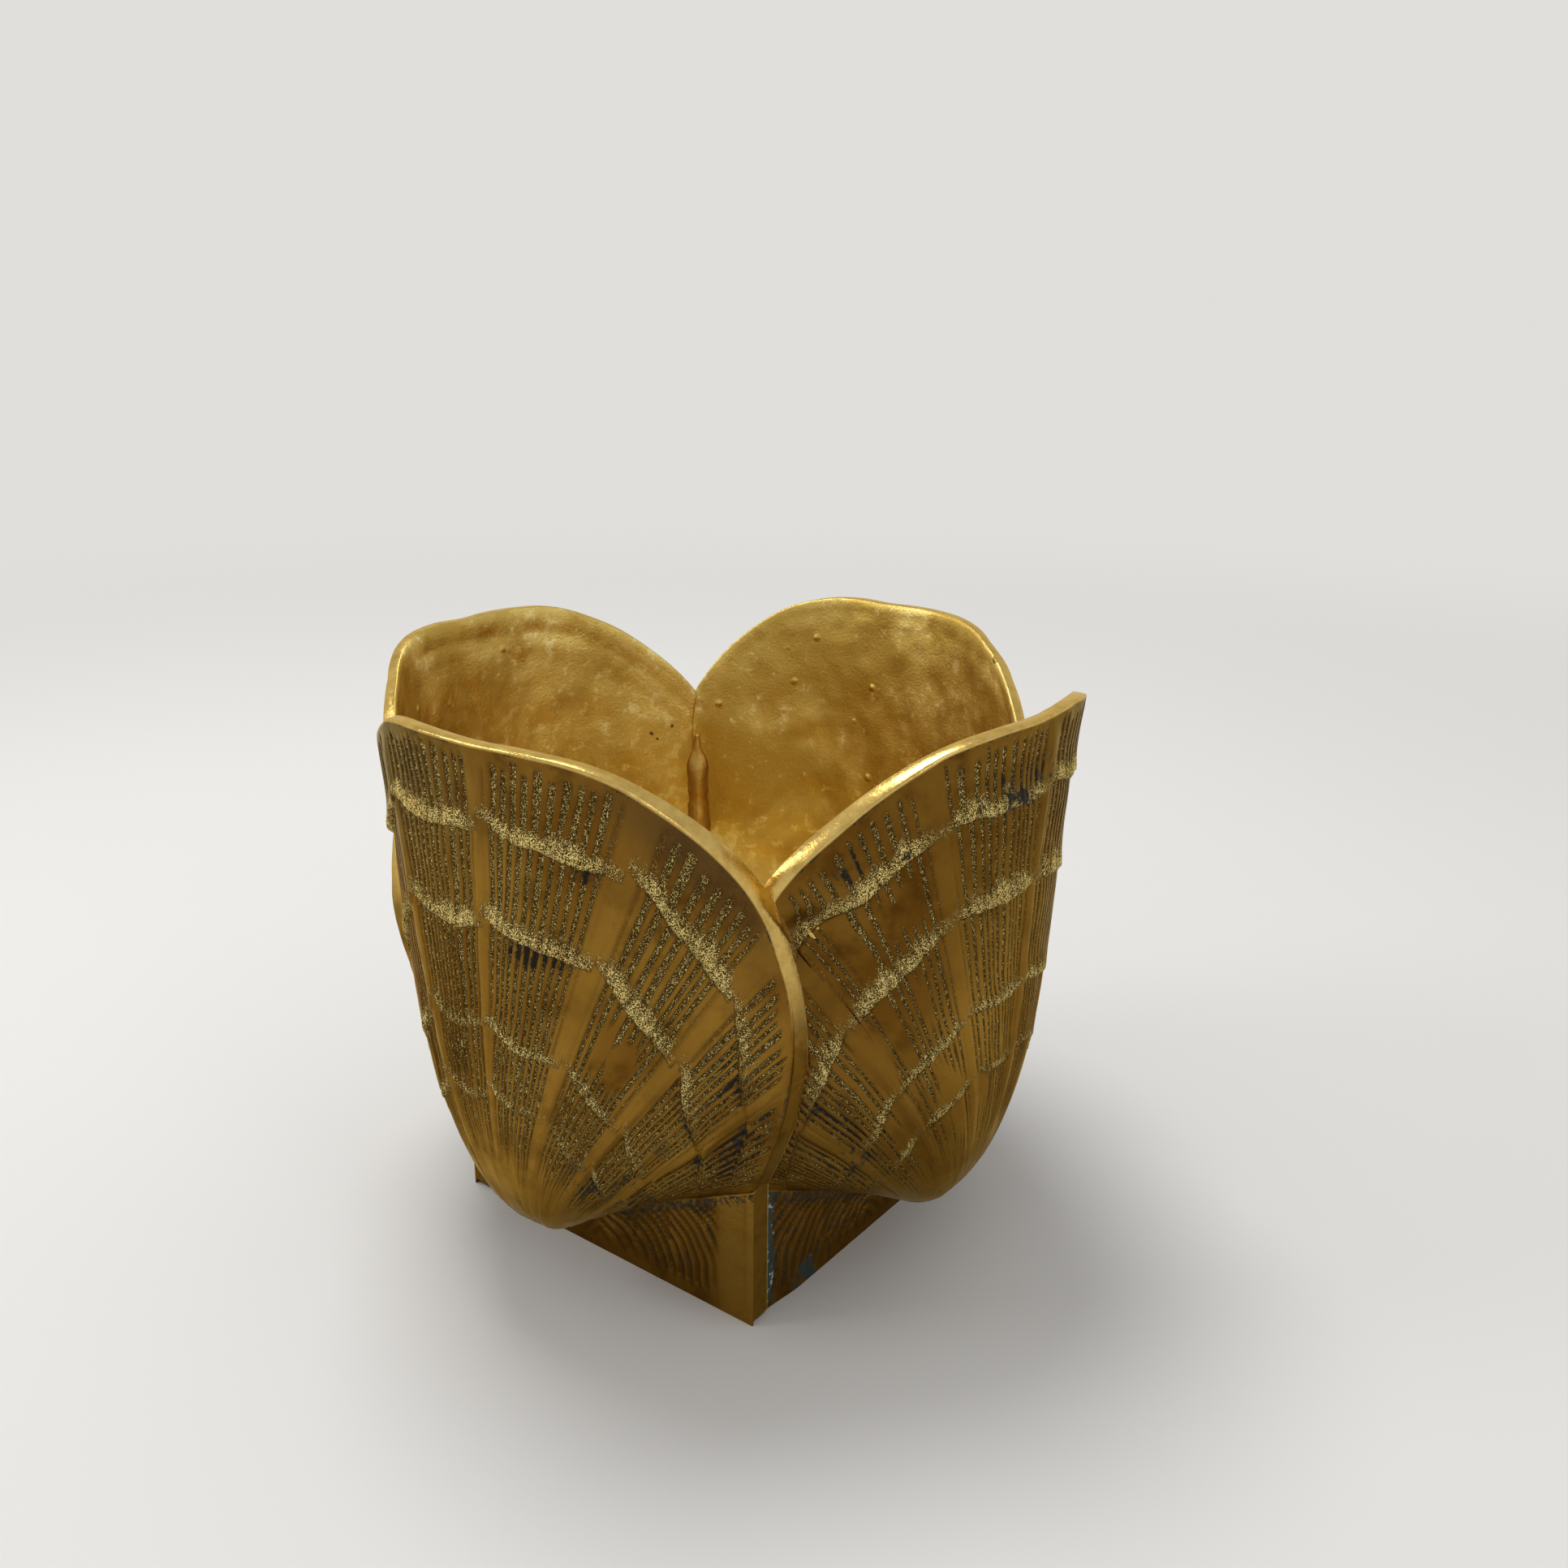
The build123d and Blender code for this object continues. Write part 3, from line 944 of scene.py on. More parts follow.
class ShellCasting:
    """One clam-shell casting with its triangle of foot skirt."""

    def __init__(self, plan: CastingPlan, sizes: ReliefSizes, side: Side) -> None:
        """Prepares the relief.

        Args:
            plan: Where the mesh's columns run.
            sizes: Sizes of the relief.
            side: Which casting it is.
        """
        self.plan = plan
        self.sizes = sizes
        self.side = side
        self.pattern = Relief(plan.surface, sizes, side)
        self.edge_round = 0.3 * MM
        self.margin_round = 1.3 * MM
        self.rim_dip = 0.4 * MM
        self.rim_waver = 0.15 * MM
        self.rim_bulge = 0.16 * MM
        self.across, self.up = self.dipped_outline()

    def dipped_outline(self) -> tuple[np.ndarray, np.ndarray]:
        """The outline with the rim drawn in a little at each fold."""
        plan = self.plan
        angle, _, reach = plan.surface.polar(plan.across, plan.up)
        turn = np.degrees(angle)
        dip = np.zeros_like(turn)
        for fold in self.sizes.folds:
            dip = dip + np.exp(-(((turn - fold.angle) / 2.6) ** 2))
        dip = dip * self.rim_dip + self.rim_waver * self.pattern.noise(turn * 0.22, 60.0)
        dip = dip * smooth_step(46.0, 36.0, np.abs(turn))
        shrink = 1.0 - dip / reach
        umbo = plan.form.umbo_height
        return plan.across * shrink, umbo + (plan.up - umbo) * shrink

    def ring_shares(self) -> list[tuple[int, float]]:
        """The outer face's rings as (columns to each vertex, share), closer together at the ledges."""
        grid = self.plan.grid
        rings = [(1, 1.0), (1, 0.9975), (1, 0.994)]
        at = 0.989
        for last, skip, stretch in (*grid.blocks, grid.last_block):
            while at > last:
                rings.append((skip, at))
                near = min(abs(at - ledge.share) for ledge in self.sizes.ledges)
                at -= stretch * (grid.fine_step if near < grid.fine_reach else grid.coarse_step)
        return rings

    def outer_ring(self, mesh: RingMesh, skip: int, share: float) -> np.ndarray:
        """Adds one ring of the outer face."""
        plan = self.plan
        surface = plan.surface
        umbo = plan.form.umbo_height
        run = share * plan.outer_reach[::skip]
        across = self.across[::skip] * run
        up = umbo + (self.up[::skip] - umbo) * run
        angle, true_share, reach = surface.polar(across, up)
        fan = self.pattern.fan(np.degrees(angle), true_share, reach)
        skirt = self.pattern.skirt(across, up)
        on_skirt = np.abs(angle) >= plan.form.corner_angle()
        masks = {name: np.where(on_skirt, skirt[name], fan[name]) for name in fan}
        normal = surface.normal(across, up)
        places = np.stack([across, -plan.tucked(across, up), up], axis=1)
        places = places + normal * masks.pop("height")[:, None]
        margin = smooth_step(32.0, 42.0, np.degrees(angle)) * ~on_skirt
        soft = self.edge_round + self.margin_round * margin
        inside = np.minimum((1.0 - share) * reach, soft)
        places = places - normal * (soft - np.sqrt(soft**2 - (soft - inside) ** 2))[:, None]
        places[:, 2] = np.maximum(places[:, 2], 0.0)
        bright = (share > 0.996) & ~on_skirt & (plan.outer_reach[::skip] >= 1.0)
        masks["ground"] = bright * smooth_step(44.0, 34.0, np.abs(np.degrees(angle)))
        return mesh.ring(places, masks)

    def inner_places(self, skip: int, share: float) -> np.ndarray:
        """Places of one ring of the inner face, rough as it left the sand.

        Args:
            skip: Columns to each vertex.
            share: Share of the way from the umbo to where the face ends.

        Returns:
            The places, one in each row.
        """
        plan, noise, fine = self.plan, self.pattern.noise, self.pattern.fine
        umbo = plan.form.umbo_height
        run = share * plan.inner_reach[::skip]
        across = self.across[::skip] * run
        up = umbo + (self.up[::skip] - umbo) * run
        angle, true_share, reach = plan.surface.polar(across, up)
        turn = np.degrees(angle)
        from_rim = (1.0 - true_share) * reach
        rough = 0.34 * MM * noise(across / (8.0 * MM), up / (8.0 * MM))
        rough = rough + 0.2 * MM * fine(across / (3.2 * MM), up / (3.6 * MM))
        wrinkled = smooth_step(1.5 * MM, 4.0 * MM, from_rim) * smooth_step(17.0 * MM, 10.0 * MM, from_rim)
        rough = rough + 0.3 * MM * wrinkled * noise(turn / 10.0, from_rim / (2.0 * MM))
        _, part = self.pattern.lobe_part(turn)
        wave = self.sizes.lobe_rise * (4.0 * part * (1.0 - part) - 0.5)
        depth = plan.surface.inner(across, up) + rough * min(1.0, (1.0 - share) * 22.0)
        depth = depth + 0.8 * wave * smooth_step(0.7, 1.0, true_share)
        if share == 1.0:
            depth = depth + self.edge_round
        return np.stack([across, -depth, np.maximum(up, 0.0)], axis=1)

    def inner_ring(self, mesh: RingMesh, skip: int, share: float) -> np.ndarray:
        """Adds one ring of the inner face and gives its vertex numbers."""
        places = self.inner_places(skip, share)
        return mesh.ring(places, {"inside": np.ones(len(places))})

    def build(self) -> bpy.types.Object:
        """Makes the casting's mesh.

        Returns:
            The piece, with its masks, in its place.
        """
        plan = self.plan
        surface = plan.surface
        umbo = plan.form.umbo_height
        mesh = RingMesh(Relief.MASKS)
        pole = np.array([0.0]), np.array([umbo])

        before = outer_edge = self.outer_ring(mesh, 1, 1.0)
        for skip, share in self.ring_shares()[1:]:
            ring = self.outer_ring(mesh, skip, share)
            mesh.bridge(before, ring)
            before = ring
        mesh.cap(before, np.array([0.0, -float(surface.outer(*pole)[0]), umbo]), {}, False)

        inner_edge_skip = 2
        inner_edge = self.inner_places(inner_edge_skip, 1.0)
        outer_places = mesh.places[0][::inner_edge_skip]
        before = outer_edge
        edge_across, edge_up = self.across[::inner_edge_skip], self.up[::inner_edge_skip]
        angle, _, _ = surface.polar(edge_across, edge_up)
        on_skirt = np.abs(angle) >= plan.form.corner_angle()
        polished = np.where((plan.outer_reach[::inner_edge_skip] < 1.0) | on_skirt, 0.0, 1.0)
        polished = polished * smooth_step(44.0, 34.0, np.abs(np.degrees(angle)))
        # the rim edge on the skirt gets the skirt's browning: patina plus painted shade
        patina = np.where(on_skirt, min(1.0, self.pattern.wear.patina + 0.3), 0.0)
        for part in (0.07, 0.5, 0.93):
            places = outer_places * (1 - part) + inner_edge * part
            out = np.stack([edge_across, np.zeros_like(edge_across), edge_up - umbo], 1)
            out = out / np.linalg.norm(out, axis=1, keepdims=True)
            rounding = self.rim_bulge * (4.0 * part * (1.0 - part)) ** 0.3
            places = places + out * (rounding * polished)[:, None]
            places[:, 2] = np.maximum(places[:, 2], 0.0)
            ring = mesh.ring(places, {"ground": polished, "patina": patina})
            mesh.bridge(before, ring, flip=True)
            before = ring
        for share in np.concatenate([[1.0, 0.994], np.arange(0.982, 0.95, -0.01)]):
            ring = self.inner_ring(mesh, inner_edge_skip, float(share))
            mesh.bridge(before, ring, flip=True)
            before = ring
        for share in np.arange(0.94, plan.grid.inner_last, -plan.grid.inner_step):
            ring = self.inner_ring(mesh, 2 * inner_edge_skip, float(share))
            mesh.bridge(before, ring, flip=True)
            before = ring
        centre = np.array([0.0, -float(surface.inner(*pole)[0]), umbo])
        mesh.cap(before, centre, {"inside": np.ones(1)}, True)

        side = self.side.name.lower()
        piece = mesh.piece(f"{side}_clamshell", self.side.value)
        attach(piece, "root")
        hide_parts(f"shell_{side}")
        return piece


class CornerBraze:
    """The uneven run of braze inside the corner to the right of one side."""

    NAMES = {
        Side.FRONT: "front_right",
        Side.RIGHT: "back_right",
        Side.BACK: "back_left",
        Side.LEFT: "front_left",
    }

    def __init__(self, surface: CastingSurface, side: Side) -> None:
        """Sets the run's sizes.

        Args:
            surface: The castings' smooth form.
            side: The side whose right-hand corner it fills.
        """
        self.surface = surface
        self.side = side
        self.noise = SmoothNoise(300 + side.value)
        self.bottom = 7.3 * MM
        self.top = 106.7 * MM
        self.leg = 2.9 * MM
        self.throat = 1.9 * MM
        self.sections = 140
        self.arc_points = 11

    def build(self) -> bpy.types.Object:
        """Makes the run as a loft of uneven sections.

        Returns:
            The piece, in its place.
        """
        up = np.linspace(self.bottom, self.top, self.sections)
        corner = self.surface.inside_corner(up)
        taper = smooth_step(self.top + 1.0 * MM, self.top - 16.0 * MM, up)
        uneven = 1.0 + 0.2 * self.noise(up / (7.0 * MM), 2.0) + 0.08 * self.noise(up / (2.2 * MM), 5.0)
        leg = self.leg * uneven * (0.25 + 0.75 * taper)
        throat = self.throat * (1.0 + 0.15 * self.noise(up / (5.0 * MM), 9.0)) * (0.2 + 0.8 * taper)
        toe = corner - leg
        front_wall = self.surface.inner(toe, up)
        right_wall = self.surface.inner(-toe, up)
        mesh = RingMesh()
        before = None
        for i in range(self.sections):
            root = np.array([corner[i], -corner[i]])
            start = np.array([toe[i], -front_wall[i]])
            end = np.array([right_wall[i], -toe[i]])
            crown = np.array([corner[i] - throat[i], throat[i] - corner[i]])
            bend = 2.0 * crown - (start + end) / 2
            at = np.linspace(0.0, 1.0, self.arc_points)[:, None]
            arc = (1 - at) ** 2 * start + 2 * at * (1 - at) * bend + at**2 * end
            flat = np.concatenate([arc, root[None, :]])
            ring = mesh.ring(np.column_stack([flat, np.full(len(flat), up[i])]))
            if before is None:
                mesh.cap(ring, np.array([*flat.mean(axis=0), up[i]]), {}, True)
            else:
                mesh.bridge(before, ring)
            before = ring
        mesh.cap(before, np.array([*flat.mean(axis=0), up[-1]]), {}, False)
        name = self.NAMES[self.side]
        piece = mesh.piece(f"{name}_braze_run", self.side.value)
        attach(piece, "root")
        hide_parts(f"corner_seam_{name}")
        return piece


# ---- Finishes ----------------------------------------------------------------------------------

Colour = tuple[float, float, float]
Value = Union[bpy.types.NodeSocket, float, Colour]


class NodeBoard:
    """Adds nodes to one material, in few words."""

    def __init__(self, name: str) -> None:
        """Makes an empty material.

        Args:
            name: The material's name.
        """
        self.material = bpy.data.materials.new(name)
        self.material.use_nodes = True
        self.nodes = self.material.node_tree.nodes
        self.links = self.material.node_tree.links
        self.nodes.clear()
        self.shader = self.nodes.new("ShaderNodeBsdfPrincipled")
        output = self.nodes.new("ShaderNodeOutputMaterial")
        self.links.new(self.shader.outputs["BSDF"], output.inputs["Surface"])
        self.spot = self.nodes.new("ShaderNodeTexCoord").outputs["Object"]

    def plug(self, value: Value, socket: bpy.types.NodeSocket) -> None:
        """Sets a socket to a number or a colour, or links it to an output."""
        if isinstance(value, bpy.types.NodeSocket):
            self.links.new(value, socket)
        elif isinstance(value, tuple):
            socket.default_value = (*value, 1.0) if len(value) == 3 else value
        else:
            socket.default_value = value

    def mask(self, name: str) -> bpy.types.NodeSocket:
        """A mask that the mesh carries."""
        node = self.nodes.new("ShaderNodeAttribute")
        node.attribute_name = name
        return node.outputs["Fac"]

    def noise(
        self, scale: float, detail: float = 3.0, roughness: float = 0.55, distortion: float = 0.0
    ) -> bpy.types.NodeSocket:
        """Noise in the piece's own space; scale is in bumps to the metre."""
        node = self.nodes.new("ShaderNodeTexNoise")
        self.plug(self.spot, node.inputs["Vector"])
        node.inputs["Scale"].default_value = scale
        node.inputs["Detail"].default_value = detail
        node.inputs["Roughness"].default_value = roughness
        node.inputs["Distortion"].default_value = distortion
        return node.outputs["Fac"]

    def cells(self, scale: float) -> bpy.types.NodeSocket:
        """Distance to the nearest of scattered points; scale is in points to the metre."""
        node = self.nodes.new("ShaderNodeTexVoronoi")
        self.plug(self.spot, node.inputs["Vector"])
        node.inputs["Scale"].default_value = scale
        return node.outputs["Distance"]

    def near(
        self, place: np.ndarray, size: tuple[float, float, float], turn: float = 0.0
    ) -> bpy.types.NodeSocket:
        """Distance from a place, in half-widths of a stain.

        Args:
            place: The stain's middle.
            size: Its half-widths along its own three axes.
            turn: How far it is turned about the casting's outward direction, in degrees.

        Returns:
            A value that is 1 on the stain's edge.
        """
        node = self.nodes.new("ShaderNodeMapping")
        node.vector_type = "TEXTURE"
        self.plug(self.spot, node.inputs["Vector"])
        node.inputs["Location"].default_value = tuple(place)
        node.inputs["Rotation"].default_value = (0.0, math.radians(turn), 0.0)
        node.inputs["Scale"].default_value = size
        length = self.nodes.new("ShaderNodeVectorMath")
        length.operation = "LENGTH"
        self.links.new(node.outputs["Vector"], length.inputs[0])
        return length.outputs["Value"]

    def math(self, kind: str, first: Value, second: Value = 0.0, clamp: bool = False) -> bpy.types.NodeSocket:
        """Two values put together by one kind of arithmetic."""
        node = self.nodes.new("ShaderNodeMath")
        node.operation = kind
        node.use_clamp = clamp
        self.plug(first, node.inputs[0])
        self.plug(second, node.inputs[1])
        return node.outputs[0]

    def ramp(
        self, value: Value, low: float, high: float, out_low: float = 0.0, out_high: float = 1.0
    ) -> bpy.types.NodeSocket:
        """A value spread from one range to another, clamped and softened."""
        node = self.nodes.new("ShaderNodeMapRange")
        node.interpolation_type = "SMOOTHSTEP"
        self.plug(value, node.inputs["Value"])
        node.inputs["From Min"].default_value = low
        node.inputs["From Max"].default_value = high
        node.inputs["To Min"].default_value = out_low
        node.inputs["To Max"].default_value = out_high
        return node.outputs["Result"]

    def mix(self, share: Value, first: Value, second: Value) -> bpy.types.NodeSocket:
        """A colour between two."""
        node = self.nodes.new("ShaderNodeMix")
        node.data_type = "RGBA"
        self.plug(share, node.inputs[0])
        self.plug(first, node.inputs[6])
        self.plug(second, node.inputs[7])
        return node.outputs[2]

    def bump(
        self,
        height: Value,
        distance: float,
        under: bpy.types.NodeSocket | None = None,
        strength: float = 1.0,
    ) -> bpy.types.NodeSocket:
        """Fine relief from a height."""
        node = self.nodes.new("ShaderNodeBump")
        node.inputs["Strength"].default_value = strength
        node.inputs["Distance"].default_value = distance
        self.plug(height, node.inputs["Height"])
        if under is not None:
            self.links.new(under, node.inputs["Normal"])
        return node.outputs["Normal"]


@dataclass(frozen=True)
class CastBrass:
    """Worn sand-cast brass: brown gold, sandy grain with painted glints in the hollows, dirt and painted
    shade, a bright ground rim, and a dark outside and bright inside that partly stand in for reflections of
    the room.
    """

    name: str = "cast_brass"
    # body, worn and brown: real brown patina, kept darker as painted dark reflection of the room on the
    # outside
    body: Colour = (0.175, 0.079, 0.009)
    worn: Colour = (0.36, 0.195, 0.03)
    brown: Colour = (0.068, 0.025, 0.003)
    grey: Colour = (0.068, 0.042, 0.020)
    sand_dark: Colour = (0.085, 0.050, 0.010)
    # painted glint colour: bright specks that stand in for light sparkling on the rough grain
    painted_glint_colour: Colour = (1.0, 0.80, 0.31)
    # black: real dirt, and painted shade under the ledges, along the rim crease and under the belly
    black: Colour = (0.016, 0.012, 0.007)
    rim: Colour = (0.72, 0.50, 0.15)
    # inside_gold, inside_pale and inside_brown: the cast inside, made brighter as painted reflection of the
    # overhead light
    inside_gold: Colour = (0.80, 0.60, 0.18)
    inside_pale: Colour = (1.0, 0.87, 0.42)
    inside_brown: Colour = (0.58, 0.39, 0.085)
    stain: Colour = (0.13, 0.085, 0.028)
    verdigris: Colour = (0.026, 0.048, 0.047)
    # pale blue-white specks scattered over the verdigris
    pale_specks: Colour = (0.42, 0.50, 0.53)
    edge_tint: Colour = (1.0, 0.86, 0.55)

    def outside(
        self,
        board: NodeBoard,
        stains: list[bpy.types.NodeSocket],
        groove: Value,
        sandy: Value,
        painted_glint: Value,
        dirt_and_shade_cover: Value,
    ) -> bpy.types.NodeSocket:
        """Colour of the outer face.

        Args:
            board: The material's nodes.
            stains: Distances from the middles of stains.
            groove: Where the grooves between the ribs run.
            sandy: Where the grain shows.
            painted_glint: Where painted glints sparkle on the grain.
            dirt_and_shade_cover: Where the dirt and the painted shade lie.

        Returns:
            The colour.
        """
        broad = board.noise(26.0, 4.0)
        middle = board.noise(110.0, 4.0, 0.6)
        colour = board.mix(board.ramp(broad, 0.38, 0.66, 0.0, 0.7), self.body, self.worn)
        colour = board.mix(board.ramp(middle, 0.46, 0.7, 0.0, 0.6), colour, self.brown)
        colour = board.mix(board.math("MULTIPLY", board.mask("fold"), 0.4), colour, self.worn)
        colour = board.mix(board.math("MULTIPLY", board.mask("tarnish"), 0.85), colour, self.grey)
        # browns by patina: real patina plus painted shade, most on the right casting
        colour = board.mix(board.math("MULTIPLY", board.mask("patina"), 0.6), colour, self.brown)
        colour = board.mix(board.math("MULTIPLY", board.mask("polish"), 0.75), colour, self.worn)
        for stain in stains:
            edge = board.math("ADD", stain, board.ramp(middle, 0.3, 0.7, -0.12, 0.12))
            colour = board.mix(board.ramp(edge, 1.0, 0.9, 0.0, 0.6), colour, self.stain)
        # painted shade: the groove edges are darkened toward brown as if the rib sides were in shadow
        painted_groove_edge_shade = board.math("MULTIPLY", groove, board.math("SUBTRACT", 1.0, groove, clamp=True))
        colour = board.mix(board.math("MULTIPLY", painted_groove_edge_shade, 2.6, clamp=True), colour, self.brown)
        # painted glints: bright specks on the grain stand in for the sparkle of light on rough metal
        colour = board.mix(sandy, colour, board.mix(painted_glint, self.sand_dark, self.painted_glint_colour))
        # darkens to black: real dirt in the hollows, plus painted shade under the ledges, along the rim
        # crease and under the belly
        colour = board.mix(dirt_and_shade_cover, colour, self.black)
        green = board.ramp(board.mask("green"), 0.2, 0.55)
        # pale blue-white specks where the verdigris is strong
        pale_specks = board.math("MULTIPLY", board.ramp(board.noise(430.0, 2.0), 0.58, 0.66), green)
        return board.mix(pale_specks, board.mix(green, colour, self.verdigris), self.pale_specks)

    def inner_face(self, board: NodeBoard) -> bpy.types.NodeSocket:
        """Colour of the inner face: mottled bright gold, bright partly as painted reflection of the overhead
        light.
        """
        broad = board.noise(34.0, 5.0, 0.6, 0.4)
        spatter = board.noise(230.0, 5.0, 0.7, 0.3)
        colour = board.mix(board.ramp(broad, 0.4, 0.62), self.inside_brown, self.inside_gold)
        favoured = board.math("ADD", spatter, board.ramp(broad, 0.4, 0.65, -0.05, 0.05))
        return board.mix(board.ramp(favoured, 0.53, 0.70, 0.0, 0.9), colour, self.inside_pale)

    def make(self, stains: list[tuple[np.ndarray, tuple[float, float, float], float]]) -> bpy.types.Material:
        """Builds the material.

        Args:
            stains: Middle, half-widths and turn of each stain.

        Returns:
            The material, ready to assign.
        """
        board = NodeBoard(self.name)
        sand, groove, inside = board.mask("sand"), board.mask("groove"), board.mask("inside")
        ground = board.mask("ground")
        middle = board.noise(110.0, 4.0, 0.6)
        small = board.noise(800.0, 3.0, 0.6)
        speck = board.noise(3700.0, 2.0, 0.6)
        ragged = board.math("ADD", sand, board.ramp(small, 0.3, 0.7, -0.16, 0.16))
        sandy = board.ramp(ragged, 0.05, 0.75)
        # painted glints grow denser where the sand mask is strongest, so the upward-facing ledge bands read
        # as lit, and thinner in the grooves
        lift = board.math("MULTIPLY", board.math("SUBTRACT", ragged, 1.0), 0.11)
        calm = board.math("SUBTRACT", lift, board.math("MULTIPLY", groove, 0.075))
        painted_glint = board.ramp(board.math("ADD", speck, calm), 0.46, 0.55)
        ragged = board.math("ADD", board.mask("dirt_and_shade"), board.ramp(small, 0.35, 0.7, -0.22, 0.22))
        dirt_and_shade_cover = board.ramp(ragged, 0.25, 0.6)
        near = [board.near(*stain) for stain in stains]
        colour = self.outside(board, near, groove, sandy, painted_glint, dirt_and_shade_cover)
        colour = board.mix(inside, colour, self.inner_face(board))
        scratched = board.ramp(board.noise(260.0, 4.0, 0.7), 0.35, 0.75, 0.0, 0.5)
        colour = board.mix(ground, colour, board.mix(scratched, self.rim, self.worn))
        board.plug(colour, board.shader.inputs["Base Color"])
        green = board.math("MULTIPLY", board.mask("green"), 0.9)
        dull = board.math("MAXIMUM", board.math("MULTIPLY", dirt_and_shade_cover, 0.75), green)
        metal = board.math("SUBTRACT", 1.0, dull, clamp=True)
        board.plug(metal, board.shader.inputs["Metallic"])
        rough = board.ramp(middle, 0.3, 0.7, 0.27, 0.40)
        rough = board.math("ADD", rough, board.math("MULTIPLY", sandy, 0.2))
        rough = board.math("ADD", rough, board.math("MULTIPLY", dull, 0.25))
        rough = board.math("ADD", rough, board.math("MULTIPLY", inside, 0.06))
        rough = board.math("SUBTRACT", rough, board.math("MULTIPLY", ground, 0.08))
        rough = board.math("SUBTRACT", rough, board.math("MULTIPLY", board.mask("polish"), 0.05))
        board.shader.inputs["Specular Tint"].default_value = (*self.edge_tint, 1.0)
        board.plug(rough, board.shader.inputs["Roughness"])
        soft = board.bump(middle, 0.6 * MM, strength=0.4)
        lumps = board.bump(small, 0.22 * MM, soft, 0.35)
        nodules = board.math("MULTIPLY", board.ramp(board.cells(75.0), 0.12, 0.02), inside)
        lumps = board.bump(nodules, 0.5 * MM, lumps, 0.9)
        pitted = board.math("MULTIPLY", board.noise(1500.0, 3.0, 0.7), inside)
        lumps = board.bump(pitted, 0.2 * MM, lumps, 0.6)
        grains = board.math("MULTIPLY", speck, board.ramp(sandy, 0.0, 1.0, 0.05, 1.0))
        board.plug(board.bump(grains, 0.32 * MM, lumps, 0.9), board.shader.inputs["Normal"])
        return board.material


@dataclass(frozen=True)
class PlainBrass:
    """Dull brass for the braze and the floor."""

    name: str
    body: Colour
    stain: Colour
    grain_scale: float = 500.0
    roughness: float = 0.42

    def make(self) -> bpy.types.Material:
        """Builds the material.

        Returns:
            The material, ready to assign.
        """
        board = NodeBoard(self.name)
        broad = board.noise(45.0, 4.0)
        small = board.noise(self.grain_scale, 3.0, 0.6)
        colour = board.mix(board.ramp(broad, 0.38, 0.66), self.body, self.stain)
        colour = board.mix(board.ramp(small, 0.5, 0.75, 0.0, 0.5), colour, self.stain)
        board.plug(colour, board.shader.inputs["Base Color"])
        board.shader.inputs["Metallic"].default_value = 1.0
        rough = board.ramp(broad, 0.3, 0.7, self.roughness - 0.08, self.roughness + 0.12)
        board.plug(rough, board.shader.inputs["Roughness"])
        board.plug(board.bump(small, 0.3 * MM, strength=0.6), board.shader.inputs["Normal"])
        return board.material


# ---- Stage -------------------------------------------------------------------------------------


@dataclass(frozen=True)
class Lamp:
    """One soft round lamp aimed at the planter."""

    name: str
    place: tuple[float, float, float]
    size: float
    power: float
    colour: Colour = (1.0, 1.0, 1.0)

    def hang(self) -> None:
        """Adds the lamp to the scene."""
        data = bpy.data.lights.new(self.name, "AREA")
        data.shape = "DISK"
        data.size = self.size
        data.energy = self.power
        data.color = self.colour
        lamp = bpy.data.objects.new(self.name, data)
        lamp.location = self.place
        aim = Vector((0.0, 0.0, 0.08)) - Vector(self.place)
        lamp.rotation_euler = aim.to_track_quat("-Z", "Y").to_euler()
        bpy.context.scene.collection.objects.link(lamp)


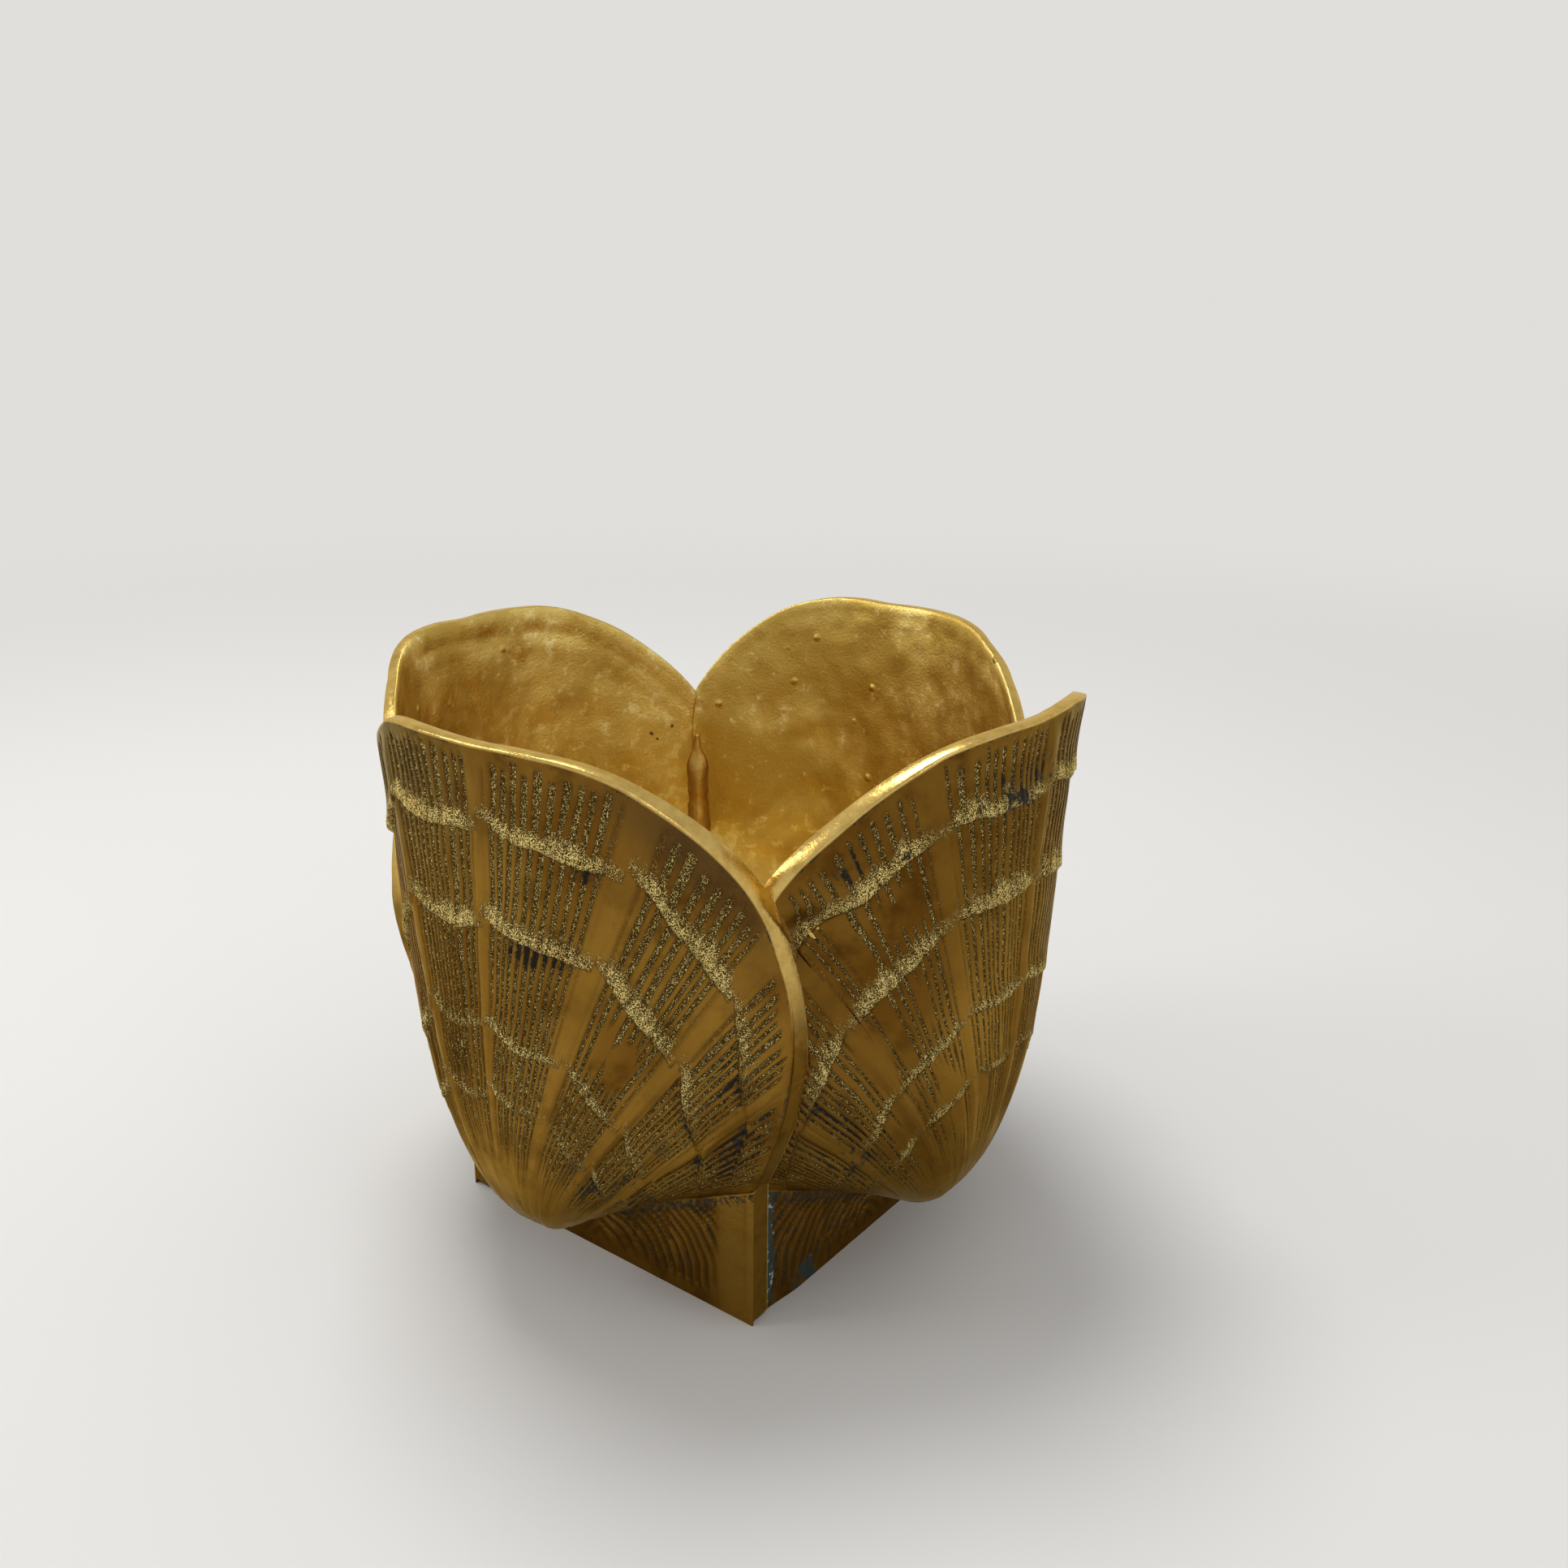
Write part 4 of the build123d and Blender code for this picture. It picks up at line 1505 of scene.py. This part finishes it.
@dataclass(frozen=True)
class Studio:
    """Pale sweep, soft light and the camera."""

    azimuth: float = 36.81
    elevation: float = 18.285
    roll: float = 0.633
    shift: tuple[float, float, float] = (-0.0176, -0.1106, -0.4208)
    lens: float = 33.28
    sensor: float = 36.0
    floor_colour: Colour = (0.74, 0.73, 0.71)
    backdrop_colour: Colour = (0.75, 0.735, 0.71)
    pale_range: tuple[float, float] = (0.25, 1.3)
    floor_radius: float = 2.0
    sweep_radius: float = 1.0
    wall_height: float = 1.2
    sky: float = 0.62
    lamps: tuple[Lamp, ...] = (
        Lamp("top_light", (-0.35, 0.1, 1.35), 0.6, 9.5),
        Lamp("left_light", (-1.05, -1.0, 0.95), 0.6, 5.0),
        Lamp("right_light", (1.35, -0.3, 0.9), 0.45, 1.0),
    )

    def camera(self) -> None:
        """Places the camera."""
        az, el = math.radians(self.azimuth), math.radians(self.elevation)
        back = np.array([math.sin(az) * math.cos(el), -math.cos(az) * math.cos(el), math.sin(el)])
        right = np.array([math.cos(az), math.sin(az), 0.0])
        axes = np.array([right, np.cross(back, right), back])
        cos, sin = math.cos(math.radians(self.roll)), math.sin(math.radians(self.roll))
        axes = np.array([[cos, sin, 0.0], [-sin, cos, 0.0], [0.0, 0.0, 1.0]]) @ axes
        place = -axes.T @ np.array(self.shift)
        data = bpy.data.cameras.new("camera")
        data.sensor_width = self.sensor
        data.lens = self.lens
        data.clip_start = 0.01
        camera = bpy.data.objects.new("camera", data)
        turn = Matrix([[*axes.T[i], place[i]] for i in range(3)] + [[0.0, 0.0, 0.0, 1.0]])
        camera.matrix_world = turn
        bpy.context.scene.collection.objects.link(camera)
        bpy.context.scene.camera = camera

    def sweep(self) -> None:
        """Makes the floor, which curves up into a wall all round."""
        profile = [(radius * self.floor_radius, 0.0) for radius in (0.25, 0.5, 1.0)]
        steps = 16
        for i in range(1, steps + 1):
            turn = math.pi / 2 * i / steps
            out = self.floor_radius + self.sweep_radius * math.sin(turn)
            profile.append((out, self.sweep_radius * (1.0 - math.cos(turn))))
        profile.append((self.floor_radius + self.sweep_radius, self.wall_height))
        turns = np.linspace(0.0, 2.0 * math.pi, 96, endpoint=False)
        mesh = RingMesh()
        before = None
        for radius, height in profile:
            circle = np.stack([radius * np.cos(turns), radius * np.sin(turns), np.full(96, height)], 1)
            ring = mesh.ring(circle)
            if before is None:
                mesh.cap(ring, np.zeros(3), {}, True)
            else:
                mesh.bridge(before, ring)
            before = ring
        floor = mesh.piece("sweep")
        floor.data.materials.append(self.sweep_finish())

    def sweep_finish(self) -> bpy.types.Material:
        """The pale finish of the sweep: shaded near the planter, evenly pale farther out.

        Returns:
            The material, ready to assign.
        """
        board = NodeBoard("pale_sweep")
        tint = board.noise(3.0, 2.0)
        darker = tuple(0.97 * channel for channel in self.floor_colour)
        board.plug(board.mix(tint, self.floor_colour, darker), board.shader.inputs["Base Color"])
        board.shader.inputs["Roughness"].default_value = 0.65
        board.shader.inputs["Specular IOR Level"].default_value = 0.2
        path = board.nodes.new("ShaderNodeLightPath")
        seen = board.math("ADD", path.outputs["Is Camera Ray"], path.outputs["Is Glossy Ray"])
        seen = board.math("ADD", seen, path.outputs["Is Transmission Ray"], clamp=True)
        far = board.ramp(board.near(np.zeros(3), (1.0, 1.0, 1.0)), *self.pale_range)
        glow = board.nodes.new("ShaderNodeEmission")
        board.plug(self.backdrop_colour, glow.inputs["Color"])
        blend = board.nodes.new("ShaderNodeMixShader")
        board.plug(board.math("MULTIPLY", seen, far), blend.inputs[0])
        board.links.new(board.shader.outputs["BSDF"], blend.inputs[1])
        board.links.new(glow.outputs["Emission"], blend.inputs[2])
        output = next(node for node in board.nodes if node.type == "OUTPUT_MATERIAL")
        board.links.new(blend.outputs[0], output.inputs["Surface"])
        return board.material

    def light(self) -> None:
        """Hangs the lamps and sets an even pale sky."""
        for lamp in self.lamps:
            lamp.hang()
        world = bpy.data.worlds.new("world")
        bpy.context.scene.world = world
        world.use_nodes = True
        world.node_tree.nodes["Background"].inputs["Color"].default_value = (1.0, 1.0, 1.0, 1.0)
        world.node_tree.nodes["Background"].inputs["Strength"].default_value = self.sky


def dress_node(node: str, material: bpy.types.Material) -> None:
    """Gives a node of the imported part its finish.

    Args:
        node: The node's name.
        material: Its finish.
    """
    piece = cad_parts[node]
    piece.data.materials.clear()
    piece.data.materials.append(material)


def main() -> None:
    """Builds the planter's looks and the stage round it."""
    logging.basicConfig(level=logging.INFO, format="%(name)s: %(message)s")
    plan = CastingPlan(CastingForm(), GridSizes())
    sizes = ReliefSizes()
    surface = plan.surface
    water = (surface.spot(31.0, 0.36), (2.7 * MM, 4.0 * MM, 2.5 * MM), 0.0)
    leaf = (surface.spot(42.0, 0.585), (1.9 * MM, 5.0 * MM, 3.6 * MM), 12.0)
    brass = CastBrass().make([water, leaf])
    for side in Side:
        piece = ShellCasting(plan, sizes, side).build()
        piece.data.materials.append(brass)
        log.info("%s: %d faces", piece.name, len(piece.data.polygons))
    braze = PlainBrass("braze", (0.74, 0.50, 0.15), (0.50, 0.31, 0.075)).make()
    for side in Side:
        piece = CornerBraze(surface, side).build()
        piece.data.materials.append(braze)
        log.info("%s: %d faces", piece.name, len(piece.data.polygons))
    plate = PlainBrass("floor_brass", (0.36, 0.24, 0.09), (0.16, 0.1, 0.04), 300.0).make()
    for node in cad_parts:
        if node.startswith("floor"):
            dress_node(node, plate if node == "floor_plate" else braze)
    studio = Studio()
    studio.camera()
    studio.sweep()
    studio.light()
    bpy.context.scene.view_settings.view_transform = "Standard"


if __name__ == "__main__":
    main()
